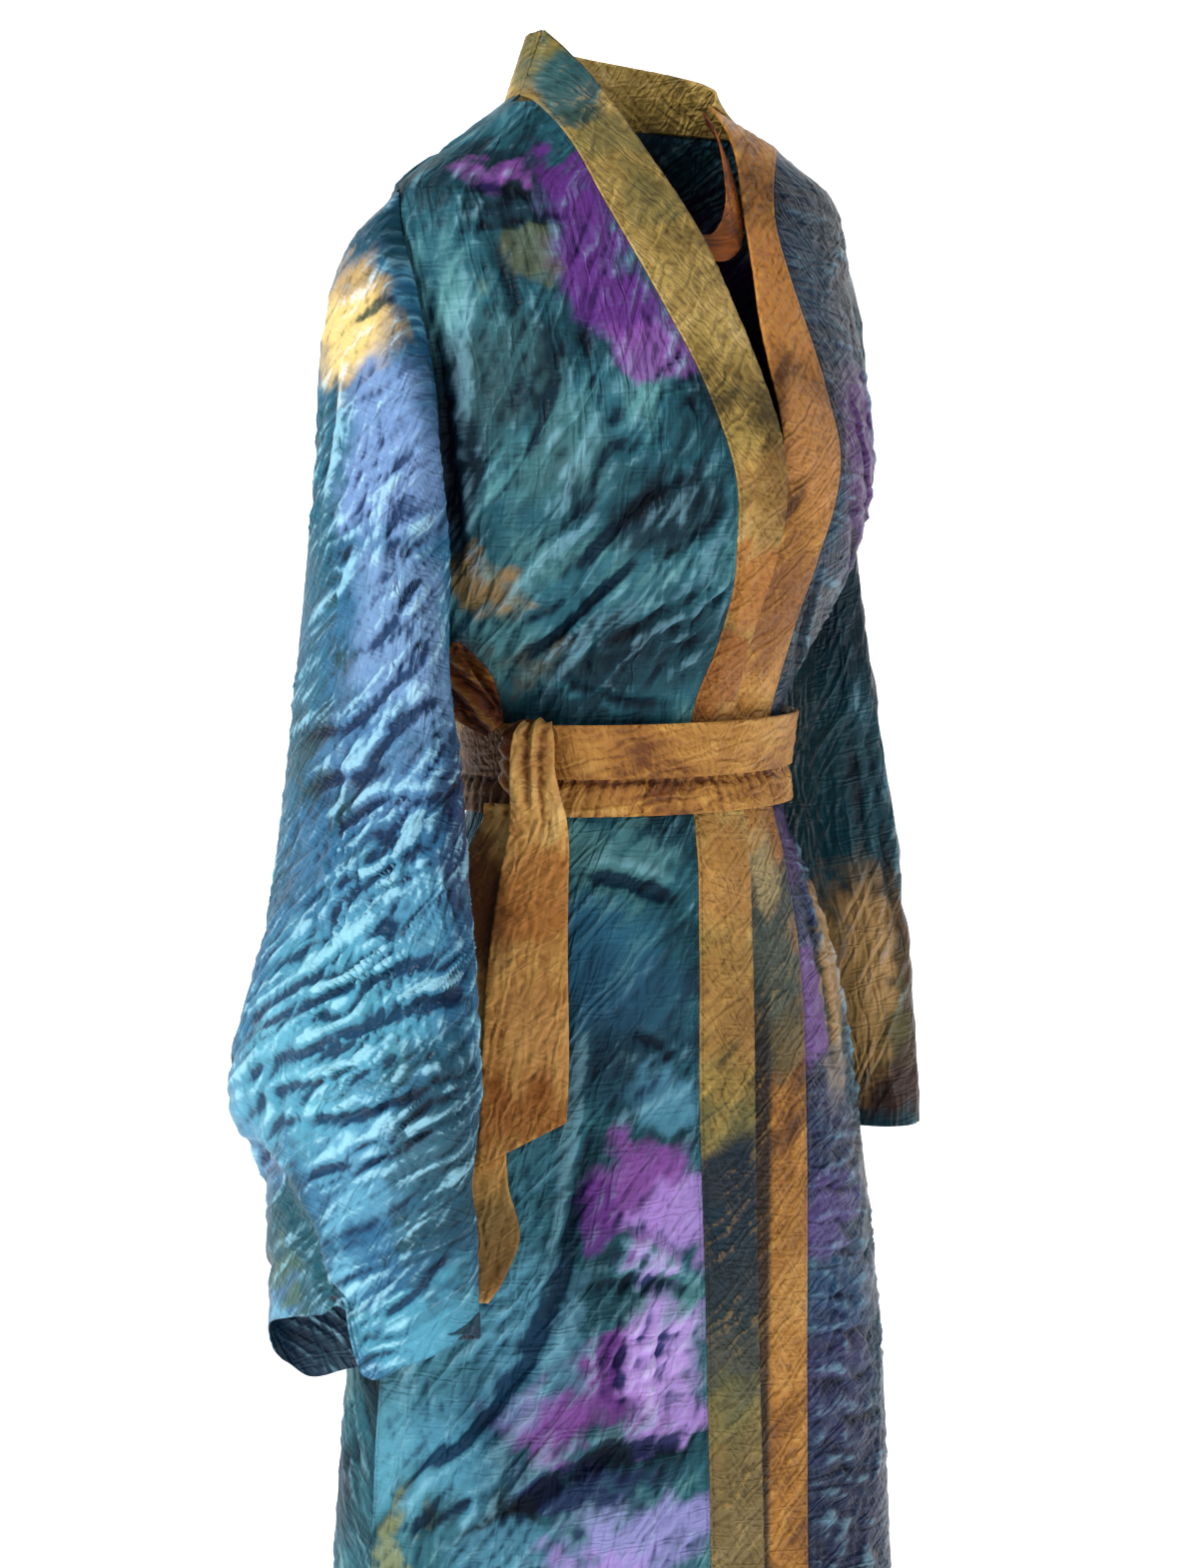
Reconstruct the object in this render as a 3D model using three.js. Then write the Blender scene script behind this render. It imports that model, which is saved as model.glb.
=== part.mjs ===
// A belted kimono duster, as it hangs on a wearer: an open-fronted long robe of thin silk.
//
// Frame: millimetres, +Z up, the robe's front faces -Y, and the wearer's left is +X.
// The origin lies between the two neck points, at the height of the shoulder seams, where a
// wearer's shoulders carry the robe.
//
// Pieces, as a maker would cut and sew them: the back, two fronts and two wide sleeves; the band
// along the front edges and round the neck, in three lengths; a narrow strip across the throat; and
// the belt, which goes round the waist twice and is tied at the wearer's right with one loop and two
// hanging tails.

import * as THREE from "three";
import { mergeVertices } from "three/addons/utils/BufferGeometryUtils.js";

// ---- Driving sizes ----

const CLOTH = 1.4; // wall of a single layer of silk with its crinkle
const BAND_WALL = 2.4; // the band is folded double
const BELT_WALL = 2.2; // the belt too
const SEAM_GAP = 0.4; // what two pieces leave between them at a seam
const HEM_Z = -1270;
const SHOULDER_Z = -63; // where the shoulder seam meets the armhole
const CROWN_Z = -72; // top of a sleeve's head, just under the end of the shoulder seam
const UNDERARM_Z = -360; // bottom of the armhole, and top of the side seam
const ARMHOLE_CUT = 24; // degrees that the armhole cuts into the front, and into the back, at its widest
const SLEEVE_TOP = 0.997; // the share of a sleeve's length that is kept, so that it ends off the armhole
const SLEEVE_CLEAR = 2.0; // how far a sleeve's head stands out from the body's form
const BAND_LAP = 4.6; // how far the right band stands out where it lies over the left one

// Rings of the robe's body from the hem to the neck: how far each reaches to the side, to the front
// and to the back, and the angle from the centre front at which the side or shoulder seam crosses it.
const BODY = [
  { z: -1270, side: 234, front: 150, back: 150, seam: 90 },
  { z: -1120, side: 224, front: 141, back: 142, seam: 90 },
  { z: -980, side: 213, front: 133, back: 135, seam: 90 },
  { z: -860, side: 206, front: 130, back: 131, seam: 90 },
  { z: -740, side: 190, front: 127, back: 127, seam: 91 },
  { z: -640, side: 171, front: 121, back: 122, seam: 92 },
  { z: -560, side: 152, front: 111, back: 114, seam: 93 },
  { z: -505, side: 133, front: 99, back: 100, seam: 94 },
  { z: -465, side: 115, front: 88, back: 86, seam: 95 },
  { z: -430, side: 110, front: 84, back: 81, seam: 96 },
  { z: -395, side: 117, front: 90, back: 85, seam: 97 },
  { z: -350, side: 140, front: 111, back: 96, seam: 99 },
  { z: -300, side: 165, front: 134, back: 105, seam: 100 },
  { z: -250, side: 178, front: 142, back: 110, seam: 101 },
  { z: -190, side: 179, front: 128, back: 109, seam: 101 },
  { z: -130, side: 180, front: 98, back: 99, seam: 100 },
  { z: -63, side: 176, front: 62, back: 80, seam: 97 },
  { z: -36, side: 138, front: 52, back: 70, seam: 94 },
  { z: -18, side: 111, front: 43, back: 61, seam: 92 },
  { z: 0, side: 86, front: 30, back: 52, seam: 90 },
];

// Soft folds of the skirt, highest at the hem and gone at their top. Angles and widths are in degrees
// from the centre front, minus on the wearer's right.
const SKIRT_FOLDS = [
  { angle: -158, width: 15, height: 13, top: -520 },
  { angle: -131, width: 13, height: -11, top: -560 },
  { angle: -108, width: 14, height: 12, top: -500 },
  { angle: -84, width: 12, height: -9, top: -620 },
  { angle: -62, width: 13, height: 8, top: -760 },
  { angle: -38, width: 10, height: -6, top: -880 },
  { angle: 44, width: 11, height: 7, top: -700 },
  { angle: 66, width: 11, height: -8, top: -600 },
  { angle: 90, width: 13, height: 11, top: -520 },
  { angle: 116, width: 14, height: -10, top: -580 },
  { angle: 139, width: 13, height: 12, top: -500 },
  { angle: 174, width: 15, height: -9, top: -640 },
];

// Folds that the belt gathers: each runs from a height below the belt to one above it, and has died
// away at both.
const GATHERS = [
  { angle: -74, width: 9, height: 7, from: -540, to: -250 },
  { angle: -50, width: 8, height: -5, from: -520, to: -270 },
  { angle: -28, width: 7, height: 5, from: -500, to: -290 },
  { angle: 40, width: 7, height: 4, from: -500, to: -300 },
  { angle: 62, width: 8, height: -5, from: -520, to: -280 },
  { angle: 80, width: 8, height: 6, from: -540, to: -260 },
  { angle: 112, width: 9, height: -5, from: -560, to: -220 },
  { angle: 138, width: 9, height: 7, from: -560, to: -200 },
  { angle: 164, width: 8, height: -5, from: -540, to: -240 },
  { angle: -168, width: 9, height: 7, from: -560, to: -200 },
  { angle: -140, width: 9, height: -6, from: -560, to: -220 },
  { angle: -116, width: 9, height: 7, from: -540, to: -240 },
];

// The band on each front, from the hem to the neck point: its seam on the front's edge (x, z) and its
// free edge. edgeY is left out where the free edge lies on the body's own form.
const BAND_RIGHT = [
  { z: -1270, x: -34, edgeX: 8, edgeZ: -1270 },
  { z: -940, x: -32, edgeX: 8, edgeZ: -940 },
  { z: -740, x: -34, edgeX: 5, edgeZ: -740 },
  { z: -640, x: -33, edgeX: 8, edgeZ: -640 },
  { z: -547, x: -24, edgeX: 16, edgeZ: -547 },
  { z: -475, x: -13, edgeX: 27, edgeZ: -475 },
  { z: -430, x: -13, edgeX: 24, edgeZ: -430 },
  { z: -388, x: -15, edgeX: 16, edgeZ: -388 },
  { z: -354, x: -12, edgeX: 12, edgeZ: -354 },
  { z: -322, x: -13, edgeX: 11, edgeZ: -320 },
  { z: -283, x: -19, edgeX: 14, edgeZ: -277 },
  { z: -239, x: -23, edgeX: 16, edgeZ: -228 },
  { z: -200, x: -31, edgeX: 13, edgeZ: -182 },
  { z: -164, x: -39, edgeX: 10, edgeZ: -143 },
  { z: -110, x: -53, edgeX: 1, edgeZ: -84 },
  { z: -63, x: -67, edgeX: -25, edgeY: -45, edgeZ: -28 },
  { z: -30, x: -77, edgeX: -43, edgeY: -24, edgeZ: 9 },
  { z: -10, x: -84, edgeX: -58, edgeY: -9, edgeZ: 31 },
  { z: -0.5, x: -87, edgeX: -68, edgeY: -1, edgeZ: 42 },
];
const BAND_LEFT = [
  { z: -1270, x: 52, edgeX: 3, edgeZ: -1270 },
  { z: -919, x: 54, edgeX: 3, edgeZ: -919 },
  { z: -785, x: 56, edgeX: 1, edgeZ: -785 },
  { z: -653, x: 62, edgeX: 3, edgeZ: -653 },
  { z: -589, x: 67, edgeX: 8, edgeZ: -589 },
  { z: -525, x: 70, edgeX: 16, edgeZ: -525 },
  { z: -475, x: 70, edgeX: 20, edgeZ: -475 },
  { z: -430, x: 68, edgeX: 18, edgeZ: -430 },
  { z: -390, x: 64, edgeX: 10, edgeZ: -390 },
  { z: -354, x: 59, edgeX: 4, edgeZ: -354 },
  { z: -322, x: 57, edgeX: 4, edgeZ: -320 },
  { z: -291, x: 61, edgeX: 8, edgeZ: -284 },
  { z: -262, x: 70, edgeX: 15, edgeZ: -252 },
  { z: -228, x: 79, edgeX: 22, edgeZ: -212 },
  { z: -190, x: 75, edgeX: 23, edgeZ: -178 },
  { z: -150, x: 73, edgeX: 28, edgeZ: -146 },
  { z: -110, x: 72, edgeX: 40, edgeZ: -104 },
  { z: -80, x: 75, edgeX: 49, edgeZ: -68 },
  { z: -51, x: 87, edgeX: 58, edgeY: -44, edgeZ: -34 },
  { z: -36, x: 99, edgeX: 64, edgeY: -25, edgeZ: -14 },
  { z: -22, x: 118, edgeX: 71, edgeY: -2, edgeZ: 0 },
];

// Round the back of the neck, by angle from the centre front: the height of the back's neck edge, and
// how far the band's free edge leans in and rises from there. On the wearer's left the band lies flat.
const NECK = [
  { angle: 90, z: -22, lean: 43, rise: 22 },
  { angle: 125, z: -17, lean: 24, rise: 34 },
  { angle: 180, z: -12, lean: 12, rise: 43 },
  { angle: 235, z: -5, lean: 14, rise: 43 },
  { angle: 270, z: 0, lean: 18, rise: 42 },
];

// Rings of each sleeve below its armhole: the ring's centre (x away from the robe's middle), its half
// thickness from side to side, its half width from front to back, and how much higher its outer fold
// and its front lie than its centre.
const SLEEVE_RIGHT = [
  { z: -232, x: 195, y: -5, thick: 26, reach: 53, rise: 124, front: 0 },
  { z: -320, x: 202, y: -7, thick: 28, reach: 60, rise: 108, front: 0 },
  { z: -445, x: 212, y: -17, thick: 31, reach: 82, rise: 92, front: 4 },
  { z: -540, x: 222, y: -24, thick: 34, reach: 98, rise: 78, front: 8 },
  { z: -600, x: 232, y: -25, thick: 38, reach: 110, rise: 70, front: 10 },
  { z: -650, x: 240, y: -25, thick: 40, reach: 115, rise: 60, front: 10 },
  { z: -698, x: 235, y: -38, thick: 35, reach: 101, rise: 46, front: 8 },
  { z: -760, x: 237, y: -42, thick: 37, reach: 99, rise: 20, front: 6 },
  { z: -800, x: 237, y: -42, thick: 38, reach: 98, rise: 0, front: 0 },
];
const SLEEVE_LEFT = [
  { z: -232, x: 188, y: 38, thick: 26, reach: 56, rise: 124, front: 0 },
  { z: -320, x: 184, y: 44, thick: 27, reach: 62, rise: 106, front: 0 },
  { z: -430, x: 186, y: 39, thick: 27, reach: 68, rise: 80, front: 0 },
  { z: -535, x: 198, y: 28, thick: 26, reach: 76, rise: 60, front: 2 },
  { z: -615, x: 207, y: 28, thick: 26, reach: 80, rise: 36, front: 2 },
  { z: -695, x: 214, y: 30, thick: 26, reach: 84, rise: 0, front: 0 },
];

// The cuffs' edges, once round each: how far the edge hangs below its last ring, minus where it is
// drawn up. The share runs from the outer fold (0) over the front (0.25), the side next to the robe
// (0.5) and the back (0.75).
const CUFF_RIGHT = [
  { share: 0, drop: -38 },
  { share: 0.04, drop: -46 },
  { share: 0.07, drop: -8 },
  { share: 0.135, drop: -18 },
  { share: 0.22, drop: -32 },
  { share: 0.3, drop: -46 },
  { share: 0.42, drop: -24 },
  { share: 0.52, drop: 2 },
  { share: 0.62, drop: 20 },
  { share: 0.7, drop: 28 },
  { share: 0.78, drop: 8 },
  { share: 0.84, drop: -13 },
  { share: 0.93, drop: -28 },
  { share: 1, drop: -38 },
];
const CUFF_LEFT = [
  { share: 0, drop: -4 },
  { share: 0.25, drop: 2 },
  { share: 0.5, drop: 6 },
  { share: 0.75, drop: -2 },
  { share: 1, drop: -4 },
];

// Broad folds of the sleeves: where each lies round the sleeve and up it, how steeply it climbs, its
// length, its width and its height.
const SLEEVE_FOLDS_RIGHT = [
  { share: 0.1, up: 0.2, climb: 0.5, length: 0.22, width: 0.03, height: 5 },
  { share: 0.12, up: 0.34, climb: 0.6, length: 0.2, width: 0.03, height: -4 },
  { share: 0.05, up: 0.46, climb: 0.7, length: 0.2, width: 0.035, height: 4 },
  { share: 0.14, up: 0.6, climb: 0.7, length: 0.16, width: 0.035, height: -4 },
  { share: 0.6, up: 0.3, climb: -0.5, length: 0.2, width: 0.04, height: -4 },
  { share: 0.75, up: 0.45, climb: 0.5, length: 0.2, width: 0.04, height: 4 },
  { share: 0.8, up: 0.26, climb: 0.6, length: 0.16, width: 0.035, height: -5 },
];
const SLEEVE_FOLDS_LEFT = [
  { share: 0.1, up: 0.24, climb: 0.5, length: 0.2, width: 0.04, height: 4 },
  { share: 0.05, up: 0.42, climb: 0.6, length: 0.2, width: 0.04, height: -4 },
  { share: 0.12, up: 0.6, climb: 0.6, length: 0.2, width: 0.04, height: 3 },
  { share: 0.75, up: 0.35, climb: 0.5, length: 0.2, width: 0.04, height: 4 },
  { share: 0.8, up: 0.55, climb: 0.5, length: 0.2, width: 0.04, height: -4 },
];

// The belt's heights, how far its two turns stand off the robe, and how far each swells between its
// edges; and the knot, as a soft flattened ball.
const BELT = { top: -402, middle: -431, bottom: -461, under: 8.4, over: 11.4, swell: 1.2 };
const KNOT = { angle: -64, z: -425, wide: 20, tall: 26, deep: 9, off: 22.4 };

// The bow's loop: a ribbon that leaves the knot up and back, turns over and comes back under itself.
// Along it: how far from the knot it has gone, how high it is, how far it stands off the robe, and its
// half width. Its width lies part along the belt and part up.
const LOOP = [
  { along: 0, reach: 20, rise: 20, off: 24, half: 8 },
  { along: 1, reach: 28, rise: 32, off: 26, half: 14 },
  { along: 2, reach: 38, rise: 47, off: 26, half: 19 },
  { along: 3, reach: 46, rise: 58, off: 23, half: 20 },
  { along: 4, reach: 51, rise: 66, off: 16, half: 20 },
  { along: 5, reach: 46, rise: 58, off: 10, half: 20 },
  { along: 6, reach: 38, rise: 47, off: 10, half: 18 },
  { along: 7, reach: 28, rise: 32, off: 14, half: 13 },
  { along: 8, reach: 21, rise: 21, off: 18, half: 8 },
];
const LOOP_LIE = { along: 0.8, up: 0.6 };

// Each tail as a flat ribbon hung from the knot: height, the middle of its width (angle on the body),
// how far it stands off the robe, its half width, and how far it has twisted, in degrees.
const TAIL_FRONT = [
  { z: -406, angle: -60, off: 32, half: 13, turn: 0 },
  { z: -430, angle: -60, off: 34, half: 15, turn: 0 },
  { z: -458, angle: -59, off: 31, half: 18, turn: 2 },
  { z: -494, angle: -58, off: 21, half: 22, turn: 4 },
  { z: -560, angle: -56, off: 14, half: 26, turn: 6 },
  { z: -620, angle: -54, off: 12, half: 28, turn: 4 },
  { z: -664, angle: -53, off: 11, half: 28, turn: 0 },
];
const TAIL_REAR = [
  { z: -453, angle: -74, off: 17, half: 12, turn: 4 },
  { z: -500, angle: -75, off: 15, half: 17, turn: 14 },
  { z: -590, angle: -71, off: 12, half: 20, turn: 18 },
  { z: -650, angle: -65, off: 6, half: 17, turn: 8 },
  { z: -690, angle: -61, off: 6, half: 14, turn: 4 },
  { z: -722, angle: -59, off: 7, half: 20, turn: 4 },
  { z: -750, angle: -59, off: 8, half: 12, turn: 0 },
  { z: -764, angle: -59, off: 8, half: 4, turn: 0 },
];
const TAIL_SLANT = 30; // how much higher the front tail's end is on its front side

// The strip across the throat: it runs down inside the left band from the neck point and over to the
// right band. For each point its place, and the half width of the strip.
const THROAT = [
  { along: 0, x: 68, y: 2, z: -8, half: 4 },
  { along: 1, x: 56, y: -27, z: -24, half: 7 },
  { along: 2, x: 47, y: -50, z: -52, half: 10 },
  { along: 3, x: 37, y: -66, z: -80, half: 11 },
  { along: 4, x: 19, y: -74, z: -97, half: 10 },
  { along: 5, x: -6, y: -74, z: -97, half: 9 },
];

// How far apart the rows of faces are, from the hem up.
const ROW_STEPS = [
  { to: -560, step: 70 },
  { to: -380, step: 31 },
  { to: -70, step: 34 },
  { to: 0, step: 17 },
];

// ---- Short names and reading a table smoothly ----

const rad = THREE.MathUtils.degToRad;
const deg = THREE.MathUtils.radToDeg;
const smooth = THREE.MathUtils.smoothstep;
const clamp = THREE.MathUtils.clamp;

// All columns of a table at one value of its key column, by cubic curves through the rows.
function sample(table, key, at) {
  const up = table[table.length - 1][key] > table[0][key];
  const rows = up ? table : [...table].reverse();
  let i = 0;
  while (i < rows.length - 2 && rows[i + 1][key] <= at) i += 1;
  const a = rows[i];
  const b = rows[i + 1];
  const before = rows[i - 1] ?? a;
  const after = rows[i + 2] ?? b;
  const span = b[key] - a[key];
  const t = clamp((at - a[key]) / span, 0, 1);
  const found = {};
  for (const name of Object.keys(a)) {
    const slopeA = (b[name] - before[name]) / (b[key] - before[key]);
    const slopeB = (after[name] - a[name]) / (after[key] - a[key]);
    found[name] = hermite(a[name], b[name], slopeA * span, slopeB * span, t);
  }
  return found;
}

function hermite(a, b, slopeA, slopeB, t) {
  const t2 = t * t;
  const t3 = t2 * t;
  const start = (2 * t3 - 3 * t2 + 1) * a + (t3 - 2 * t2 + t) * slopeA;
  const end = (3 * t2 - 2 * t3) * b + (t3 - t2) * slopeB;
  return start + end;
}

// ---- The form of the robe's body ----

const wrap = (x, size) => ((x % size) + size) % size;
const angleGap = (a, b) => wrap(a - b + 180, 360) - 180;
const bump = (angle, fold) => fold.height * Math.exp(-((angleGap(angle, fold.angle) / fold.width) ** 2));

function foldHeight(angle, z) {
  let sum = 0;
  for (const fold of SKIRT_FOLDS) {
    const share = (fold.top - z) / (fold.top - HEM_Z);
    if (share > 0) sum += bump(angle, fold) * share ** 1.2;
  }
  for (const fold of GATHERS) {
    const end = z < BELT.middle ? fold.from : fold.to;
    const share = 1 - Math.abs((z - BELT.middle) / (end - BELT.middle));
    const clearOfBelt = smooth(Math.abs(z - BELT.middle), 30, 75);
    if (share > 0) sum += bump(angle, fold) * share * clearOfBelt;
  }
  return sum;
}

// The point of the body's form at an angle from the centre front, in degrees, standing out by a distance.
function bodyPoint(angle, z, out = 0) {
  const ring = sample(BODY, "z", z);
  const s = Math.sin(rad(angle));
  const c = Math.cos(rad(angle));
  const depth = c > 0 ? ring.front : ring.back;
  const away = new THREE.Vector2(s / ring.side, -c / depth).normalize();
  const stand = out + foldHeight(angle, z);
  return new THREE.Vector3(ring.side * s + away.x * stand, -depth * c + away.y * stand, z);
}

// The angle at which the front of the body's form has a given x.
function angleAt(x, z) {
  return deg(Math.asin(clamp(x / sample(BODY, "z", z).side, -1, 1)));
}

const frontPoint = (x, z, out = 0) => bodyPoint(angleAt(x, z), z, out);

// How far from the side seam's line, in degrees, the armhole cuts into a panel at a height.
function armholeCut(z) {
  const t = (z - UNDERARM_Z) / (SHOULDER_Z - UNDERARM_Z);
  return t <= 0 || t >= 1 ? 0 : ARMHOLE_CUT * Math.sin(Math.PI * t) ** 0.6;
}

// The angle of a panel's outer edge: the shoulder seam, then the armhole, then the side seam.
const outerEdge = (z) => sample(BODY, "z", z).seam - armholeCut(z) - gapAngle(z);
const gapAngle = (z) => deg(SEAM_GAP / sample(BODY, "z", z).front);

// ---- Shells ----

const STEP = 1e-3; // how far apart, in shares, two points are taken to find a slope

// A closed wall on a surface given by a function of two shares u and v. The wall's outer face is the
// surface itself.
function shell(surface, us, vs, wall, tube = false) {
  const outer = [];
  const inner = [];
  for (const v of vs) {
    for (const u of us) {
      const point = surface(u, v);
      outer.push(point);
      inner.push(point.clone().addScaledVector(normalAt(surface, u, v, tube), -wall));
    }
  }
  const columns = us.length;
  const top = vs.length - 1;
  const at = (row, column, face) => face * outer.length + row * columns + (column % columns);
  const triangles = [];
  const quad = (a, b, c, d) => triangles.push(a, b, c, a, c, d);
  const across = tube ? columns : columns - 1;
  for (let c = 0; c < across; c += 1) {
    for (let r = 0; r < top; r += 1) {
      quad(at(r, c, 0), at(r, c + 1, 0), at(r + 1, c + 1, 0), at(r + 1, c, 0));
      quad(at(r, c, 1), at(r + 1, c, 1), at(r + 1, c + 1, 1), at(r, c + 1, 1));
    }
    quad(at(0, c, 1), at(0, c + 1, 1), at(0, c + 1, 0), at(0, c, 0));
    quad(at(top, c, 0), at(top, c + 1, 0), at(top, c + 1, 1), at(top, c, 1));
  }
  for (let r = 0; r < top && !tube; r += 1) {
    quad(at(r, 0, 0), at(r + 1, 0, 0), at(r + 1, 0, 1), at(r, 0, 1));
    quad(at(r, across, 1), at(r + 1, across, 1), at(r + 1, across, 0), at(r, across, 0));
  }
  return closedGeometry([...outer, ...inner], triangles);
}

// The outward normal, where u runs anticlockwise seen from above and v runs up.
function normalAt(surface, u, v, tube) {
  const before = tube ? u - STEP : Math.max(u - STEP, 0);
  const after = tube ? u + STEP : Math.min(u + STEP, 1);
  const alongU = surface(after, v).sub(surface(before, v));
  const alongV = surface(u, Math.min(v + STEP, 1)).sub(surface(u, Math.max(v - STEP, 0)));
  return alongU.cross(alongV).normalize();
}

function closedGeometry(points, triangles) {
  const geometry = new THREE.BufferGeometry();
  geometry.setAttribute(
    "position",
    new THREE.Float32BufferAttribute(points.flatMap((p) => [p.x, p.y, p.z]), 3),
  );
  const facingIn = signedVolume(points, triangles) < 0;
  geometry.setIndex(facingIn ? [...triangles].reverse() : triangles);
  return geometry;
}

function signedVolume(points, triangles) {
  let sum = 0;
  for (let i = 0; i < triangles.length; i += 3) {
    const [a, b, c] = [0, 1, 2].map((k) => points[triangles[i + k]]);
    sum += a.dot(b.clone().cross(c));
  }
  return sum;
}

const shares = (count) => Array.from({ length: count + 1 }, (_, i) => i / count);

// Shares of a height range, one for each row of a shell, from the step wanted in each stretch.
function heightShares(low, high) {
  const heights = [low];
  let z = low;
  for (const { to, step } of ROW_STEPS) {
    const end = Math.min(to, high);
    const count = Math.max(1, Math.round((end - z) / step));
    for (let i = 1; i <= count && end > z; i += 1) heights.push(z + ((end - z) * i) / count);
    z = Math.max(z, end);
  }
  return heights.map((h) => (h - low) / (high - low));
}

// ---- Fronts and back ----

function frontPanel(side, band, top) {
  const surface = (u, v) => {
    const z = HEM_Z + (top - HEM_Z) * v;
    const inner = angleAt(sample(band, "z", z).x, z) + side * gapAngle(z);
    const outer = side * outerEdge(z);
    const [from, to] = side > 0 ? [inner, outer] : [outer, inner];
    return bodyPoint(from + (to - from) * u, z);
  };
  return shell(surface, shares(9), heightShares(HEM_Z, top), CLOTH);
}

function backPanel() {
  const surface = (u, v) => {
    let z = HEM_Z * (1 - v);
    let angle = 180;
    for (let pass = 0; pass < 3; pass += 1) {
      const from = sample(BODY, "z", z).seam + armholeCut(z) + gapAngle(z);
      angle = from + (360 - 2 * from) * u;
      z = HEM_Z + (sample(NECK, "angle", angle).z - HEM_Z) * v;
    }
    return bodyPoint(angle, z);
  };
  return shell(surface, shares(15), heightShares(HEM_Z, 0), CLOTH);
}

// ---- Sleeves ----

// The armhole's edge at a share of the way round: from the shoulder down the front to the underarm
// and up the back.
function armholePoint(side, share) {
  const down = (1 - Math.cos(2 * Math.PI * share)) / 2;
  const z = CROWN_Z + (UNDERARM_Z - CROWN_Z) * down;
  const seam = sample(BODY, "z", z).seam;
  const cut = share < 0.5 ? -armholeCut(z) : armholeCut(z);
  return bodyPoint(side * (seam + cut), z, SLEEVE_CLEAR);
}

function sleeveRingPoint(side, ring, share) {
  const s = Math.sin(2 * Math.PI * share);
  const c = Math.cos(2 * Math.PI * share);
  return new THREE.Vector3(
    side * (ring.x + ring.thick * Math.sign(c) * Math.abs(c) ** 0.8),
    ring.y - ring.reach * s,
    ring.z + ring.rise * c + ring.front * s,
  );
}

// How far a sleeve's broad folds stand out, by the share round it and the share up it.
function sleeveFold(folds, round, up) {
  let sum = 0;
  for (const fold of folds) {
    const turn = wrap(round - fold.share + 0.5, 1) - 0.5;
    const along = up - fold.up;
    const across = along - turn * fold.climb;
    const fade = Math.exp(-((turn / fold.length) ** 2));
    sum += fold.height * fade * Math.exp(-((across / fold.width) ** 2));
  }
  return sum;
}

// A point of a sleeve: v runs from the cuff to the armhole, u goes once round.
function sleevePoint(side, rings, cuff, u, v) {
  const round = wrap(side > 0 ? u : 1 - u, 1);
  const ringPoint = (k) => {
    const ring = clamp(k, 0, rings.length);
    return ring === 0 ? armholePoint(side, round) : sleeveRingPoint(side, rings[ring - 1], round);
  };
  const along = (1 - v) * rings.length;
  const i = Math.min(Math.floor(along), rings.length - 1);
  const [before, a, b, after] = [i - 1, i, i + 1, i + 2].map(ringPoint);
  const slopeA = b.clone().sub(before).divideScalar(i === 0 ? 1 : 2);
  const slopeB = after.clone().sub(a).divideScalar(i === rings.length - 1 ? 1 : 2);
  const mix = (name) => hermite(a[name], b[name], slopeA[name], slopeB[name], along - i);
  const drop = sample(cuff, "share", round).drop * smooth(along, rings.length - 1, rings.length);
  return new THREE.Vector3(mix("x"), mix("y"), mix("z") - drop);
}

function sleeve(side, rings, cuff, folds) {
  const plain = (u, v) => sleevePoint(side, rings, cuff, u, v * SLEEVE_TOP);
  const folded = (u, v) => {
    const round = side > 0 ? u : 1 - u;
    const stand = sleeveFold(folds, round, v);
    return plain(u, v).addScaledVector(normalAt(plain, u, v, true), stand);
  };
  const turns = shares(20).slice(0, -1);
  return shell(folded, turns, shares(Math.round(rings.length * 1.7)), CLOTH, true);
}

// ---- Band ----

// The band on a front. It lies on the body's form below, stands by itself at the neck, and may lap
// over the other band.
function frontBand(side, band, lapDepth) {
  const placed = band.map((row) => ({ ...row, edgeY: row.edgeY ?? frontPoint(row.edgeX, row.edgeZ).y }));
  const top = band[band.length - 1].z;
  const surface = (u, v) => {
    const z = HEM_Z + (top - HEM_Z) * v;
    const line = sample(placed, "z", z);
    const across = side > 0 ? 1 - u : u;
    const seam = frontPoint(line.x, z);
    const free = new THREE.Vector3(line.edgeX, line.edgeY, line.edgeZ);
    const standing = seam.clone().lerp(free, across);
    const lap = lapDepth * smooth(across, 0.02, 0.34) * (1 - smooth(z, -250, -180));
    const lying = frontPoint(standing.x, Math.min(standing.z, -1), lap);
    return lying.lerp(standing, smooth(z, -150, -70));
  };
  return shell(surface, [0, 0.35, 0.7, 1], heightShares(HEM_Z, top), BAND_WALL);
}

function neckBand() {
  const surface = (u, v) => {
    const angle = 91 + 178 * u;
    const row = sample(NECK, "angle", angle);
    const foot = bodyPoint(angle, row.z);
    return bodyPoint(angle, row.z, -row.lean * v).setZ(foot.z + SEAM_GAP + row.rise * v);
  };
  return shell(surface, shares(14), [0, 0.5, 1], BAND_WALL);
}

// ---- Ribbons: the belt, its knot, loop and tails, and the strip across the throat ----

function beltTurn(top, bottom, off) {
  const surface = (u, v) => {
    const z = bottom + (top - bottom) * v;
    return bodyPoint(360 * u, z, off + BELT.swell * Math.sin(Math.PI * v));
  };
  return shell(surface, shares(32).slice(0, -1), [0, 0.5, 1], BELT_WALL, true);
}

// The directions at an angle on the body: straight out of it, and along it to the wearer's left.
function directionsAt(angle, z) {
  const out = bodyPoint(angle, z, 1).sub(bodyPoint(angle, z)).normalize();
  return { out, along: new THREE.Vector3(-out.y, out.x, 0) };
}

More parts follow.
